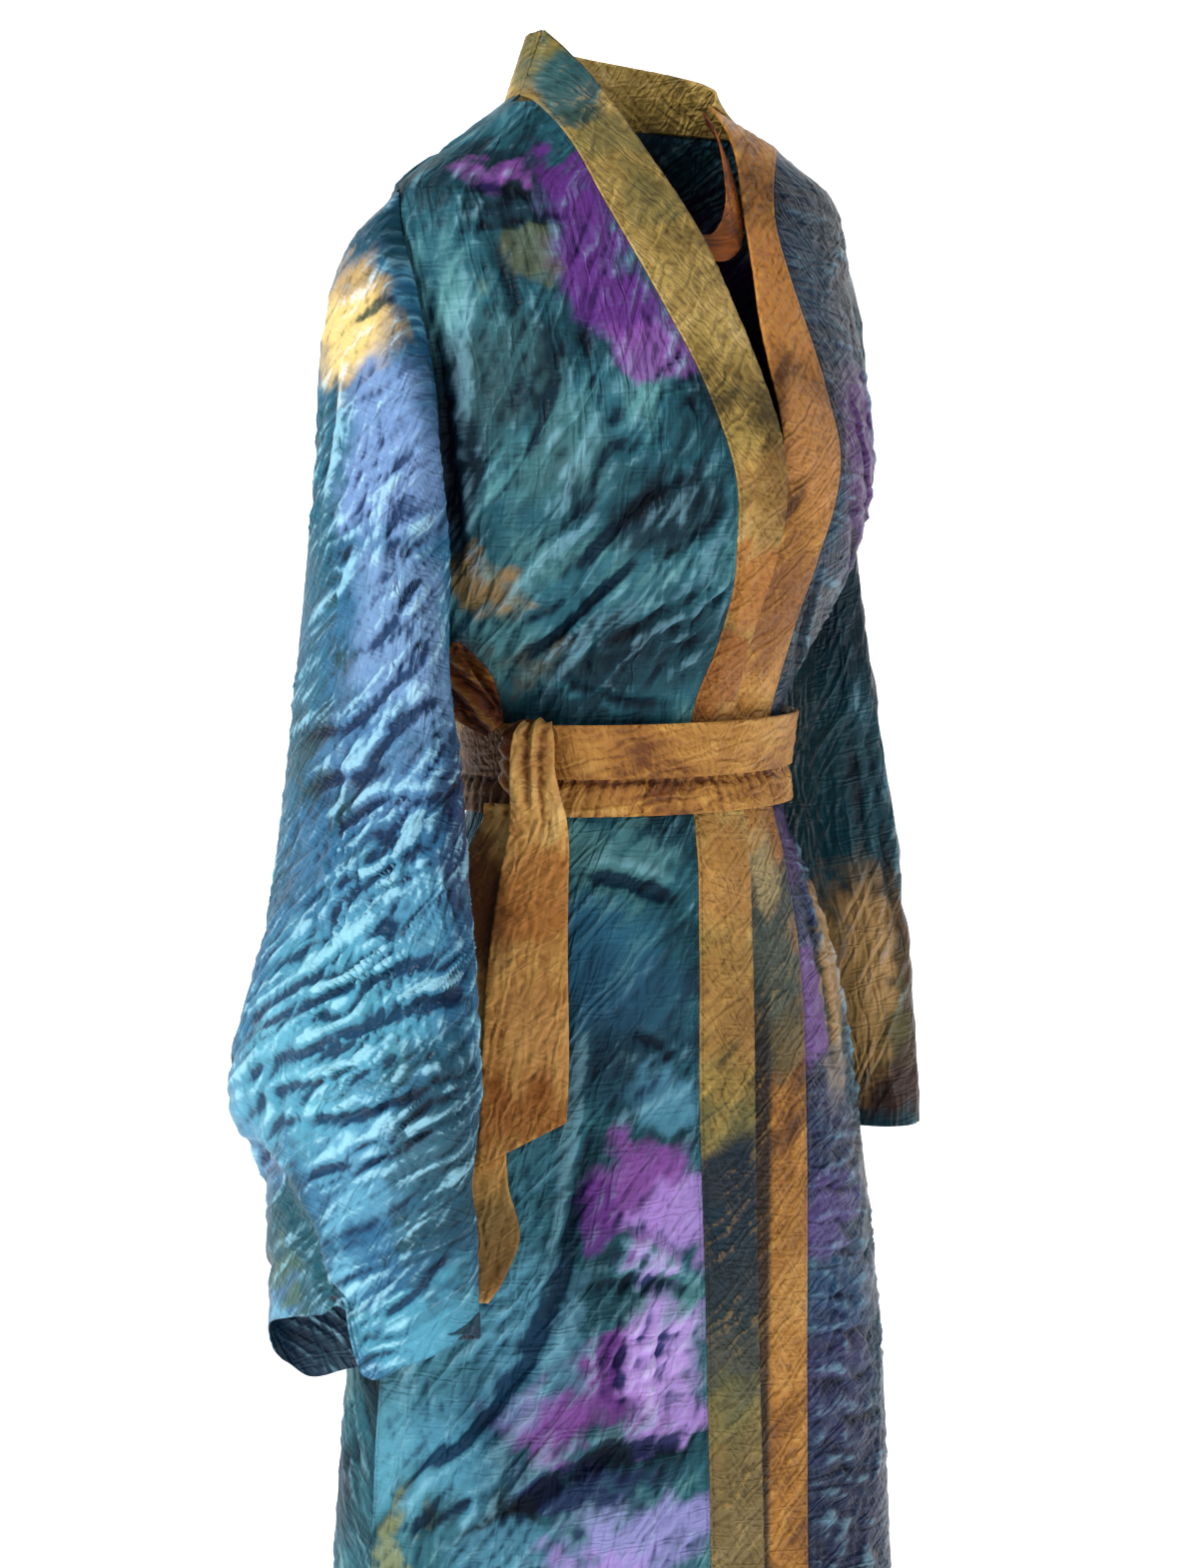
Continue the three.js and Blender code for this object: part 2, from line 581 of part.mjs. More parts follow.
function tail(rows, steps, slant) {
  const top = rows[0].z;
  const bottom = rows[rows.length - 1].z;
  const surface = (u, v) => {
    const level = bottom + (top - bottom) * v;
    const row = sample(rows, "z", level);
    const { along } = directionsAt(row.angle, BELT.bottom);
    along.applyAxisAngle(new THREE.Vector3(0, 0, 1), rad(row.turn));
    const point = bodyPoint(row.angle, Math.min(level, BELT.bottom), row.off);
    point.z = level + slant * (u - 0.5) * (1 - v) ** 2;
    return point.addScaledVector(along, row.half * (2 * u - 1));
  };
  return shell(surface, shares(3), shares(steps), BELT_WALL);
}

// A soft flattened ball in the shape of a tight knot, with a shallow waist where the ribbon crosses it.
function knot() {
  const middle = bodyPoint(KNOT.angle, BELT.middle, KNOT.off).setZ(KNOT.z);
  const { out, along } = directionsAt(KNOT.angle, BELT.middle);
  const geometry = new THREE.SphereGeometry(1, 16, 10);
  const ball = mergeVertices(geometry.deleteAttribute("normal").deleteAttribute("uv"), 1e-4);
  const position = ball.getAttribute("position");
  for (let i = 0; i < position.count; i += 1) {
    const p = new THREE.Vector3().fromBufferAttribute(position, i);
    const pinch = 1 - 0.16 * Math.exp(-((p.y / 0.35) ** 2));
    const place = middle.clone().addScaledVector(along, KNOT.wide * p.x * pinch);
    place.addScaledVector(out, KNOT.deep * p.z);
    position.setXYZ(i, place.x, place.y, place.z + KNOT.tall * p.y);
  }
  return ball;
}

function bowLoop() {
  const last = LOOP.length - 1;
  const surface = (u, v) => {
    const row = sample(LOOP, "along", last * v);
    const angle = KNOT.angle - deg(row.reach / sample(BODY, "z", BELT.middle).side);
    const { along } = directionsAt(angle, BELT.middle);
    const across = along.multiplyScalar(LOOP_LIE.along).setZ(LOOP_LIE.up);
    const base = bodyPoint(angle, KNOT.z + row.rise, row.off);
    return base.addScaledVector(across, row.half * (2 * u - 1));
  };
  return shell(surface, shares(3), shares(16), BELT_WALL);
}

function throatStrip() {
  const last = THROAT.length - 1;
  const centre = (v) => {
    const row = sample(THROAT, "along", last * (1 - v));
    return new THREE.Vector3(row.x, row.y, row.z);
  };
  const surface = (u, v) => {
    const ahead = centre(Math.min(v + STEP, 1)).sub(centre(Math.max(v - STEP, 0)));
    const middle = centre(v);
    const out = new THREE.Vector3(middle.x, middle.y, 40).normalize();
    const across = ahead.cross(out).normalize();
    const { half } = sample(THROAT, "along", last * (1 - v));
    return middle.addScaledVector(across, half * (1 - 2 * u));
  };
  return shell(surface, shares(3), shares(12), CLOTH);
}

// ---- The robe ----

const DYED = { color: 0x2f5d73, roughness: 0.45, metalness: 0 };
const GOLD = { color: 0xa8793c, roughness: 0.5, metalness: 0 };

function piece(name, geometry, look) {
  const mesh = new THREE.Mesh(geometry, new THREE.MeshStandardMaterial(look));
  mesh.name = name;
  return mesh;
}

const robe = new THREE.Group();
robe.add(
  piece("back", backPanel(), DYED),
  piece("front_right", frontPanel(-1, BAND_RIGHT, -5), DYED),
  piece("front_left", frontPanel(1, BAND_LEFT, -26), DYED),
  piece("sleeve_right", sleeve(-1, SLEEVE_RIGHT, CUFF_RIGHT, SLEEVE_FOLDS_RIGHT), DYED),
  piece("sleeve_left", sleeve(1, SLEEVE_LEFT, CUFF_LEFT, SLEEVE_FOLDS_LEFT), DYED),
  piece("band_right", frontBand(-1, BAND_RIGHT, BAND_LAP), GOLD),
  piece("band_left", frontBand(1, BAND_LEFT, 0), GOLD),
  piece("band_neck", neckBand(), GOLD),
  piece("throat_strip", throatStrip(), GOLD),
  piece("belt_under_turn", beltTurn(BELT.middle, BELT.bottom, BELT.under), GOLD),
  piece("belt_over_turn", beltTurn(BELT.top, BELT.middle - 6, BELT.over), GOLD),
  piece("belt_knot", knot(), GOLD),
  piece("belt_loop", bowLoop(), GOLD),
  piece("belt_tail_front", tail(TAIL_FRONT, 12, TAIL_SLANT), GOLD),
  piece("belt_tail_rear", tail(TAIL_REAR, 16, 0), GOLD),
);

export default robe;
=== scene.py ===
"""A kimono duster of crushed, tie-dyed silk, in the form a wearer gives it.

Sizes are in millimetres in the tables and are turned into metres as each mesh is made. The robe's front
faces -Y, +Z is up and the wearer's left is +X. Angles round the body are in degrees from the centre front,
minus on the wearer's right. A table is a block of text, one row to a line, with bars between its groups.
"""

import math
from types import SimpleNamespace

import bpy
import numpy as np
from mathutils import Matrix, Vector


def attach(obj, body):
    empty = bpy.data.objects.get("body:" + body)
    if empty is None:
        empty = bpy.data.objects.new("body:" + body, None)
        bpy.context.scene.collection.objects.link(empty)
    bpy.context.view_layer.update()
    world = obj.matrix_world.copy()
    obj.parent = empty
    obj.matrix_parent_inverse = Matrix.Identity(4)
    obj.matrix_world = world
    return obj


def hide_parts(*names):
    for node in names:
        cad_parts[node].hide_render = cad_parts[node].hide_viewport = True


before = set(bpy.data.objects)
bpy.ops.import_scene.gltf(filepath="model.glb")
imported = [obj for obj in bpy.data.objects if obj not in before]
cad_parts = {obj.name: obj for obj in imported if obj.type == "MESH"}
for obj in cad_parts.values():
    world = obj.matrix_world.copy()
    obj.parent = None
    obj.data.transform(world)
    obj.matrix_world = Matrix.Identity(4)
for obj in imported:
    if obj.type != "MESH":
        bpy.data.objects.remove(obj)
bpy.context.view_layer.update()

# ---- Tables ----


def numbers(text, mark=None):
    return tuple(float(part) for part in text.split(mark))


def table(text):
    return [numbers(line) for line in text.strip().splitlines()]


def groups(text):
    """Each line of a table, cut at its bars."""
    return [line.split("|") for line in text.strip().splitlines()]


def strokes(text):
    """Creases: the points of each one's line over the cloth, its width and its depth."""
    return [([numbers(p, ",") for p in line.split()], *numbers(size)) for line, size in groups(text)]


class Rows:
    """A table of named columns, read by cubic curves through its rows. The first column is the key."""

    def __init__(self, names, rows):
        self.names = names.split()
        self.data = np.array(sorted(table(rows) if isinstance(rows, str) else rows), float)
        key = self.data[:, :1]
        self.slope = np.empty_like(self.data)
        self.slope[1:-1] = (self.data[2:] - self.data[:-2]) / (key[2:] - key[:-2])
        self.slope[0] = (self.data[1] - self.data[0]) / (key[1] - key[0])
        self.slope[-1] = (self.data[-1] - self.data[-2]) / (key[-1] - key[-2])

    def __call__(self, at):
        at = np.asarray(at, float)
        key = self.data[:, 0]
        i = np.clip(np.searchsorted(key, at, side="right") - 1, 0, len(key) - 2)
        span = key[i + 1] - key[i]
        t = np.clip((at - key[i]) / span, 0, 1)
        a, b, m, n = weights(t)
        found = {}
        for k, name in enumerate(self.names):
            v, s = self.data[:, k], self.slope[:, k]
            found[name] = a * v[i] + b * v[i + 1] + span * (m * s[i] + n * s[i + 1])
        return SimpleNamespace(**found)


def weights(t):
    """What a cubic curve's two ends and two slopes weigh at a share of the way."""
    t2, t3 = t * t, t * t * t
    return 2 * t3 - 3 * t2 + 1, 3 * t2 - 2 * t3, t3 - 2 * t2 + t, t3 - t2


HEM, SHOULDER, CROWN, UNDERARM = -1270, -63, -65, -360  # heights; the crown is the top of a sleeve's head
ARMHOLE_CUT = 24  # degrees that an armhole takes out of a panel's edge
HEAD_LAP = 1.0  # degrees by which a sleeve's head passes under the armhole's edge
SLEEVE_CLEAR = 1.3  # how far a sleeve's head stands off the body's form
BAND_LAP = 4.6  # how far the right band stands off the body's form, over the left front
GAP = 0.05  # half of the gap at a seam
FAR_FROM_EDGE = 60.0  # the edge mark of cloth with no sewn edge near it

BODY = Rows("z side front back seam", """
-1270 234 150 150 90
-1120 224 141 142 90
-980 213 133 135 90
-860 206 130 131 90
-740 190 127 127 91
-640 171 121 122 92
-560 152 111 114 93
-505 133 99 100 94
-465 115 88 86 95
-430 110 84 81 96
-395 117 90 85 97
-350 140 111 96 99
-300 165 134 105 100
-250 178 142 110 101
-190 179 128 109 101
-130 180 98 99 100
-63 176 62 80 97
-36 138 52 70 94
-18 111 43 61 92
0 86 30 52 90
""")
# Broad folds that fall to the hem: angle, width, height at the hem, top.
SKIRT_FOLDS = table("""
-158 15 13 -520
-131 13 -11 -560
-108 14 12 -500
-84 12 -9 -620
-62 13 8 -760
-38 10 -6 -880
44 11 7 -700
66 11 -8 -600
90 13 11 -520
116 14 -10 -580
139 13 12 -500
174 15 -9 -640
""")
# Folds that the belt gathers: angle, width, height, lowest and highest point.
GATHERS = table("""
-74 9 7 -540 -250
-50 8 -5 -520 -270
-28 7 5 -500 -290
40 7 4 -500 -300
62 8 -5 -520 -280
80 8 6 -540 -260
112 9 -5 -560 -220
138 9 7 -560 -200
164 8 -5 -540 -240
-168 9 7 -560 -200
-140 9 -6 -560 -220
-116 9 7 -540 -240
""")
# The bands: z, x of the seam, x and z of the free edge, and its y where it stands off the body.
BAND_RIGHT = table("""
-1270 -34 8 -1270
-940 -32 8 -940
-740 -34 5 -740
-640 -33 8 -640
-547 -24 16 -547
-475 -13 27 -475
-430 -13 24 -430
-388 -15 16 -388
-354 -12 12 -354
-322 -13 11 -320
-283 -19 14 -277
-239 -23 16 -228
-200 -31 13 -182
-164 -39 10 -143
-110 -53 1 -84
-63 -67 -25 -28 -45
-30 -77 -43 9 -24
-10 -84 -58 31 -9
-0.5 -87 -68 42 -1
""")
BAND_LEFT = table("""
-1270 52 3 -1270
-919 54 3 -919
-785 56 1 -785
-653 62 3 -653
-589 67 8 -589
-525 70 16 -525
-475 70 20 -475
-430 68 18 -430
-390 64 10 -390
-354 59 4 -354
-322 57 4 -320
-291 61 8 -284
-262 70 15 -252
-228 79 22 -212
-190 75 23 -178
-150 73 28 -146
-110 72 40 -104
-80 75 49 -68
-51 87 58 -34 -44
-36 99 64 -14 -25
-22 118 71 0 -2
""")
NECK = Rows("angle z lean rise", """
90 -22 43 22
125 -17 24 34
180 -12 12 43
235 -5 14 43
270 0 18 42
""")
# A sleeve's rings below the armhole: z, x, y, half thickness, half width, rise of the outer fold, then of
# the front.
SLEEVE_RIGHT = table("""
-232 195 -5 26 53 124 0
-320 202 -7 28 60 108 0
-445 212 -17 31 82 92 4
-540 222 -24 34 98 78 8
-600 232 -25 38 110 70 10
-650 240 -25 40 115 60 10
-698 235 -38 35 101 46 8
-760 237 -42 37 99 20 6
-800 237 -42 38 98 0 0
""")
SLEEVE_LEFT = table("""
-232 188 38 26 56 124 0
-320 184 44 27 62 106 0
-430 186 39 27 68 80 0
-535 198 28 26 76 60 2
-615 207 28 26 80 36 2
-695 214 30 26 84 0 0
""")
CUFF_RIGHT = Rows("share drop", """
0 -38
0.04 -46
0.07 -8
0.135 -18
0.22 -32
0.3 -46
0.42 -24
0.52 2
0.62 20
0.7 28
0.78 8
0.84 -13
0.93 -28
1 -38
""")
CUFF_LEFT = Rows("share drop", """
0 -4
0.25 2
0.5 6
0.75 -2
1 -4
""")
# Broad folds of a sleeve: share round, share up, climb, length, width, height.
SLEEVE_FOLDS_RIGHT = table("""
0.1 0.2 0.5 0.22 0.03 5
0.12 0.34 0.6 0.2 0.03 -4
0.05 0.46 0.7 0.2 0.035 4
0.14 0.6 0.7 0.16 0.035 -4
0.6 0.3 -0.5 0.2 0.04 -4
0.75 0.45 0.5 0.2 0.04 4
0.8 0.26 0.6 0.16 0.035 -5
""")
SLEEVE_FOLDS_LEFT = table("""
0.1 0.24 0.5 0.2 0.04 4
0.05 0.42 0.6 0.2 0.04 -4
0.12 0.6 0.6 0.2 0.04 3
0.75 0.35 0.5 0.2 0.04 4
0.8 0.55 0.5 0.2 0.04 -4
""")
BELT = SimpleNamespace(top=-402, middle=-431, bottom=-461, under=8.4, over=11.4, swell=1.2)
KNOT = SimpleNamespace(angle=-64, z=-425, wide=20, tall=26, deep=9, off=22.4)
LOOP = Rows("along reach rise off half", """
0 20 20 24 8
1 28 32 26 14
2 38 47 26 19
3 46 58 23 20
4 51 66 16 20
5 46 58 10 20
6 38 47 10 18
7 28 32 14 13
8 21 21 18 8
""")
TAIL_FRONT = Rows("z angle off half turn", """
-397.5 -60 20 9 0
-399 -60 25 10 0
-403 -60 30 12 0
-412 -60 32.5 14 0
-430 -60 34 15 0
-458 -59 31 18 2
-494 -58 21 22 4
-560 -56 14 26 6
-620 -54 12 28 4
-664 -53 11 28 0
""")
TAIL_REAR = Rows("z angle off half turn", """
-453 -74 17 12 4
-500 -75 15 17 14
-590 -71 12 20 18
-650 -65 6 17 8
-690 -61 6 14 4
-722 -59 7 20 4
-750 -59 8 12 0
-764 -59 8 4 0
""")
TAIL_SLANT = 30  # how much higher one corner of the front tail's end hangs
THROAT = Rows("along x y z half", """
0 68 2 -8 4
1 56 -27 -24 7
2 47 -50 -52 10
3 37 -66 -80 11
4 19 -74 -97 10
5 -6 -74 -97 9
""")

# The main creases, each given in turn: its line over the cloth, its width and its depth; a ridge has a
# depth below 0. A point of the line is angle,z on the body, and share round,share up on a sleeve.
CREASES_FRONT_RIGHT = strokes("""
-66,-64  -50,-62  -36,-72 | 5 3.5
-69,-92  -50,-86  -34,-80  -27,-76 | 4 2.5
-78,-125  -75,-207  -74,-270  -78,-322 | 7 4.2
-60,-107  -66,-164  -68,-214 | 6 -3
-52,-101  -50,-151  -57,-208 | 5 2.6
-41,-158  -49,-208  -61,-258 | 6 3
-31,-183  -40,-227  -50,-271 | 6 -3
-17,-240  -27,-258  -38,-286  -48,-308 | 5 4.6
-9,-258  -17,-283  -27,-296 | 4 3
-29,-296  -38,-315  -53,-347  -62,-360 | 5 5
-14,-314  -26,-333  -40,-353 | 4 3.2
-6,-313  -12,-346  -27,-380 | 4 3
-54,-373  -34,-386  -14,-390 | 4 3
-60,-314  -48,-286  -36,-264 | 5 -3.2
-22,-208  -15,-195  -12,-220 | 4 2.4
-39,-333  -48,-360  -60,-383 | 4 -3
-30,-120  -36,-170  -33,-214 | 6 2.6
-46,-497  -33,-500  -23,-507  -14,-516 | 5.6 6.5
-41,-576  -41,-638  -43,-701  -45,-765 | 6 -3.6
-37,-688  -43,-758  -50,-815  -61,-854  -79,-880 | 8 5
-34,-726  -23,-733  -13,-758 | 5 -3.6
-38,-757  -25,-755  -11,-765 | 6 4.2
-53,-910  -40,-879  -24,-863  -11,-864 | 8 5.2
-57,-890  -73,-910  -86,-922 | 5 3
-36,-657  -26,-645  -13,-633 | 5 -2.6
-34,-778  -34,-800  -33,-832 | 4 -3.2
-22,-780  -22,-815  -21,-856 | 5 -3.2
-27,-776  -28,-806  -27,-836 | 4 3.2
-33,-790  -20,-792  -11,-789 | 2.5 1.6
-32,-804  -20,-802  -11,-805 | 2.5 1.8
-30,-817  -22,-819  -11,-816 | 2.5 1.4
-31,-832  -20,-830  -11,-833 | 2.5 1.8
-30,-596  -22,-604  -15,-622 | 4 2.4
-62,-560  -66,-640  -62,-700 | 7 3.4
-84,-500  -80,-590  -84,-660 | 7 3.6
-86,-700  -78,-780  -80,-840 | 7 -3.6
-70,-960  -52,-1050  -46,-1150 | 9 5
-25,-980  -30,-1100  -28,-1240 | 9 -5
-85,-1000  -80,-1100  -82,-1230 | 9 5
-60,-1010  -40,-990  -20,-1010 | 5 3
""")
CREASES_FRONT_LEFT = strokes("""
36,-190  42,-240  52,-286 | 5 3
60,-150  52,-200  58,-250 | 5 -3
30,-262  42,-290  50,-330 | 5 3.4
38,-330  52,-352  66,-360 | 4 3
74,-250  70,-300  76,-350 | 6 -3
40,-120  56,-110  72,-120 | 5 2.6
22,-300  30,-345  44,-382 | 4 3
36,-500  40,-580  36,-650 | 7 3
60,-520  56,-600  64,-690 | 7 -3.4
18,-714  30,-716  42,-724 | 3 2.2
16,-736  30,-741  44,-744 | 3 2.6
20,-762  34,-764  46,-772 | 3.5 2.8
16,-786  28,-790  38,-789 | 3 2
18,-812  32,-818  50,-822 | 3.5 2.8
16,-842  26,-845  40,-852 | 3 2.2
20,-872  36,-878  52,-880 | 4 2.6
18,-905  30,-908  46,-918 | 4 2.6
70,-740  76,-820  70,-910 | 8 4
34,-960  40,-1060  36,-1200 | 9 -5
60,-980  66,-1100  60,-1230 | 9 5
18,-1000  22,-1100  16,-1180 | 7 3.6
""")
CREASES_BACK = strokes("""
128,-76  150,-96  176,-100 | 6 3.2
232,-76  214,-98  190,-104 | 6 3.2
120,-140  140,-170  160,-180 | 6 3
240,-150  222,-180  200,-186 | 6 -3
150,-392  146,-340  152,-280 | 6 4
176,-390  172,-330  164,-270 | 6 -4
204,-392  210,-340  204,-270 | 6 4.2
228,-390  222,-336  230,-290 | 5 3.4
122,-388  128,-350  124,-300 | 5 3.4
118,-230  140,-250  170,-248 | 5 2.8
236,-240  214,-262  188,-270 | 5 2.8
160,-210  180,-222  206,-214 | 5 -2.8
130,-480  126,-560  132,-650 | 8 4.4
152,-480  158,-580  150,-700 | 8 -4.4
180,-476  178,-570  184,-660 | 8 4.4
208,-480  202,-590  210,-720 | 8 -4.4
234,-490  240,-580  232,-670 | 8 4
140,-740  160,-790  190,-800 | 7 4
220,-780  196,-830  170,-850 | 7 4
118,-760  124,-860  118,-960 | 9 4.4
246,-800  240,-900  248,-990 | 9 4.4
150,-900  156,-1020  150,-1200 | 10 -5
186,-880  182,-1000  190,-1180 | 10 5
218,-930  224,-1060  218,-1220 | 10 5
130,-1010  148,-1050  166,-1060 | 6 3.4
236,-1060  214,-1096  196,-1090 | 6 3.4
""")
CREASES_SLEEVE_RIGHT = strokes("""
-0.09,0.63  0.02,0.625  0.12,0.675  0.22,0.74 | 4.5 3.2
-0.05,0.59  0.05,0.6  0.12,0.65  0.27,0.735 | 4.5 4
0,0.55  0.09,0.59  0.18,0.63  0.28,0.7 | 4.5 4.6
0.05,0.525  0.12,0.585  0.22,0.655 | 4 3.4
-0.06,0.42  -0.01,0.44  0.045,0.495  0.12,0.555 | 4 3.6
-0.1,0.365  0,0.4  0.06,0.455  0.17,0.545 | 4.5 4.2
-0.13,0.33  0.03,0.38  0.14,0.465  0.24,0.56 | 4.5 4.2
-0.1,0.3  0.05,0.335  0.19,0.46  0.28,0.54 | 4.5 4
-0.1,0.268  0.06,0.3  0.22,0.425 | 4 3.8
-0.1,0.24  0.06,0.254  0.22,0.37 | 4 3.4
-0.04,0.19  0.08,0.215  0.22,0.315 | 4 3.2
0.01,0.14  0.11,0.185  0.22,0.26 | 4 3
0.1,0.09  0.16,0.13  0.24,0.2 | 3.5 2.6
-0.05,0.735  -0.01,0.775  0.0,0.82 | 5 -3
0.1,0.715  0.13,0.76  0.2,0.81 | 4 3
0.05,0.67  0.11,0.7  0.22,0.775 | 4 3
-0.08,0.69  0.01,0.7  0.04,0.73 | 4 -2.4
0.12,0.78  0.15,0.8  0.2,0.84 | 3.5 2.8
0.06,0.56  0.15,0.62  0.2,0.665 | 3 2.6
-0.02,0.475  0.06,0.53  0.14,0.59 | 3.5 2.8
0.02,0.43  0.1,0.49  0.2,0.575 | 3.5 3
0.08,0.37  0.16,0.44  0.26,0.53 | 3.5 2.8
0.1,0.29  0.18,0.36  0.27,0.45 | 3.5 2.8
0.03,0.84  0.08,0.87  0.14,0.92 | 4 2.4
0.36,0.72  0.46,0.68  0.56,0.62 | 6 3
0.4,0.58  0.5,0.56  0.6,0.5 | 6 3
0.36,0.44  0.48,0.42  0.6,0.36 | 6 -3
0.4,0.3  0.5,0.3  0.62,0.24 | 6 3
0.64,0.74  0.74,0.68  0.84,0.66 | 6 3.4
0.66,0.58  0.76,0.52  0.88,0.5 | 6 3.6
0.64,0.42  0.74,0.38  0.86,0.34 | 6 3.8
0.66,0.28  0.76,0.24  0.86,0.22 | 6 3.4
0.7,0.14  0.8,0.12  0.88,0.13 | 5 3
""")
CREASES_SLEEVE_LEFT = strokes("""
0.3,0.66  0.28,0.5  0.31,0.34 | 5 3
0.36,0.6  0.38,0.42  0.34,0.2 | 5 -3
0.22,0.5  0.25,0.36  0.22,0.22 | 5 3
0.42,0.3  0.44,0.18  0.42,0.06 | 5 3
0.28,0.24  0.34,0.14  0.33,0.04 | 4 2.6
-0.1,0.66  0.02,0.62  0.12,0.66 | 5 3
-0.08,0.52  0.04,0.5  0.14,0.54 | 5 3.4
-0.1,0.38  0.02,0.36  0.14,0.42 | 5 3.4
-0.08,0.24  0.04,0.22  0.16,0.28 | 5 3
-0.12,0.12  0,0.1  0.1,0.14 | 5 2.8
0.62,0.7  0.72,0.66  0.82,0.62 | 6 3
0.64,0.5  0.74,0.46  0.86,0.46 | 6 -3
0.66,0.3  0.76,0.28  0.86,0.24 | 6 3
""")

# ---- The form ----


def gap_between(a, b):
    return (np.asarray(a) - b + 180) % 360 - 180


def smooth(x, low, high):
    t = np.clip((np.asarray(x, float) - low) / (high - low), 0, 1)
    return t * t * (3 - 2 * t)


def fold_height(angle, z):
    total = np.zeros(np.broadcast(angle, z).shape)
    for where, width, height, top in SKIRT_FOLDS:
        share = np.clip((top - z) / (top - HEM), 0, None) ** 1.2
        total = total + height * np.exp(-((gap_between(angle, where) / width) ** 2)) * share
    clear = smooth(np.abs(z - BELT.middle), 30, 75)
    for where, width, height, low, high in GATHERS:
        end = np.where(z < BELT.middle, low, high)
        share = np.clip(1 - np.abs((z - BELT.middle) / (end - BELT.middle)), 0, None)
        total = total + height * np.exp(-((gap_between(angle, where) / width) ** 2)) * share * clear
    return total


def body_point(angle, z, out=0.0):
    """The point of the body's form at an angle from the centre front, standing out by a distance."""
    angle, z = np.broadcast_arrays(np.asarray(angle, float), np.asarray(z, float))
    ring = BODY(z)
    s, c = np.sin(np.radians(angle)), np.cos(np.radians(angle))
    depth = np.where(c > 0, ring.front, ring.back)
    away = np.stack([s / ring.side, -c / depth], -1)
    away /= np.linalg.norm(away, axis=-1, keepdims=True)
    stand = (out + fold_height(angle, z))[..., None]
    flat = np.stack([ring.side * s, -depth * c], -1) + away * stand
    return np.concatenate([flat, z[..., None]], -1)


def angle_at(x, z):
    return np.degrees(np.arcsin(np.clip(x / BODY(z).side, -1, 1)))


def front_point(x, z, out=0.0):
    return body_point(angle_at(x, z), z, out)


def armhole_cut(z):
    t = (np.asarray(z, float) - UNDERARM) / (SHOULDER - UNDERARM)
    inside = (t > 0) & (t < 1)
    return np.where(inside, ARMHOLE_CUT * np.sin(np.pi * np.clip(t, 1e-9, 1 - 1e-9)) ** 0.6, 0)


def gap_angle(z):
    return np.degrees(GAP / BODY(z).front)


def grid(columns, rows):
    """Shares across and up for a grid of points, as arrays of one shape."""
    return np.meshgrid(np.linspace(0, 1, columns), np.linspace(0, 1, rows))


def front_panel(side, band, top, columns, rows):
    u, v = grid(columns, rows)
    z = HEM + (top - HEM) * v
    inner = angle_at(band(z).x, z) + side * gap_angle(z)
    outer = side * (BODY(z).seam - armhole_cut(z) - gap_angle(z))
    start, end = (inner, outer) if side > 0 else (outer, inner)
    return body_point(start + (end - start) * u, z)


def back_panel(columns, rows):
    u, v = grid(columns, rows)
    z = HEM * (1 - v)
    for _ in range(3):
        start = BODY(z).seam + armhole_cut(z) + gap_angle(z)
        angle = start + (360 - 2 * start) * u
        z = HEM + (NECK(angle).z - HEM) * v
    return body_point(angle, z)


def armhole_point(side, share):
    down = (1 - np.cos(2 * np.pi * share)) / 2
    z = CROWN + (UNDERARM - CROWN) * down
    cut = np.where(share % 1 < 0.5, -1, 1) * (armhole_cut(z) + HEAD_LAP)
    return body_point(side * (BODY(z).seam + cut), z, SLEEVE_CLEAR)


def ring_point(side, ring, share):
    z, x, y, thick, reach, rise, front = ring
    s, c = np.sin(2 * np.pi * share), np.cos(2 * np.pi * share)
    bulge = np.sign(c) * np.abs(c) ** 0.8
    return np.stack([side * (x + thick * bulge), y - reach * s, z + rise * c + front * s], -1)


def sleeve_point(side, rings, cuff, share, up):
    """A point of a plain sleeve: share runs once round it, and up from its cuff to its armhole."""
    share, up = np.broadcast_arrays(np.asarray(share, float), np.asarray(up, float))
    turn = share % 1
    count = len(rings)
    line = np.stack([armhole_point(side, turn)] + [ring_point(side, r, turn) for r in rings])
    along = (1 - up) * count
    i = np.clip(np.floor(along).astype(int), 0, count - 1)
    t = (along - i)[..., None]
    take = lambda k: np.take_along_axis(line, np.clip(k, 0, count)[None, ..., None], 0)[0]
    before, a, b, after = take(i - 1), take(i), take(i + 1), take(i + 2)
    slope_a = (b - before) / np.where(i == 0, 1, 2)[..., None]
    slope_b = (after - a) / np.where(i == count - 1, 1, 2)[..., None]
    wa, wb, wm, wn = weights(t)
    point = wa * a + wb * b + wm * slope_a + wn * slope_b
    point[..., 2] -= cuff(turn).drop * smooth(along, count - 1, count)
    return point


def sleeve_panel(side, rings, cuff, folds, columns, rows):
    u, v = np.meshgrid(np.arange(columns) / columns, np.linspace(0, 1, rows))
    share = (1 - u) % 1 if side > 0 else u
    plain = sleeve_point(side, rings, cuff, share, v)
    stand = np.zeros(u.shape)
    for where, up, climb, length, width, height in folds:
        turn = (share - where + 0.5) % 1 - 0.5
        across = v - up - turn * climb
        stand += height * np.exp(-((turn / length) ** 2) - (across / width) ** 2)
    return plain - normals(plain, True) * stand[..., None], share, v


def band_line(rows):
    """The rows of a band with the depth of its free edge filled in where it lies on the body."""
    filled = []
    for z, x, edge_x, edge_z, *edge_y in rows:
        y = edge_y[0] if edge_y else front_point(edge_x, edge_z)[1]
        filled.append((z, x, edge_x, edge_z, y))
    return Rows("z x edge_x edge_z edge_y", filled)


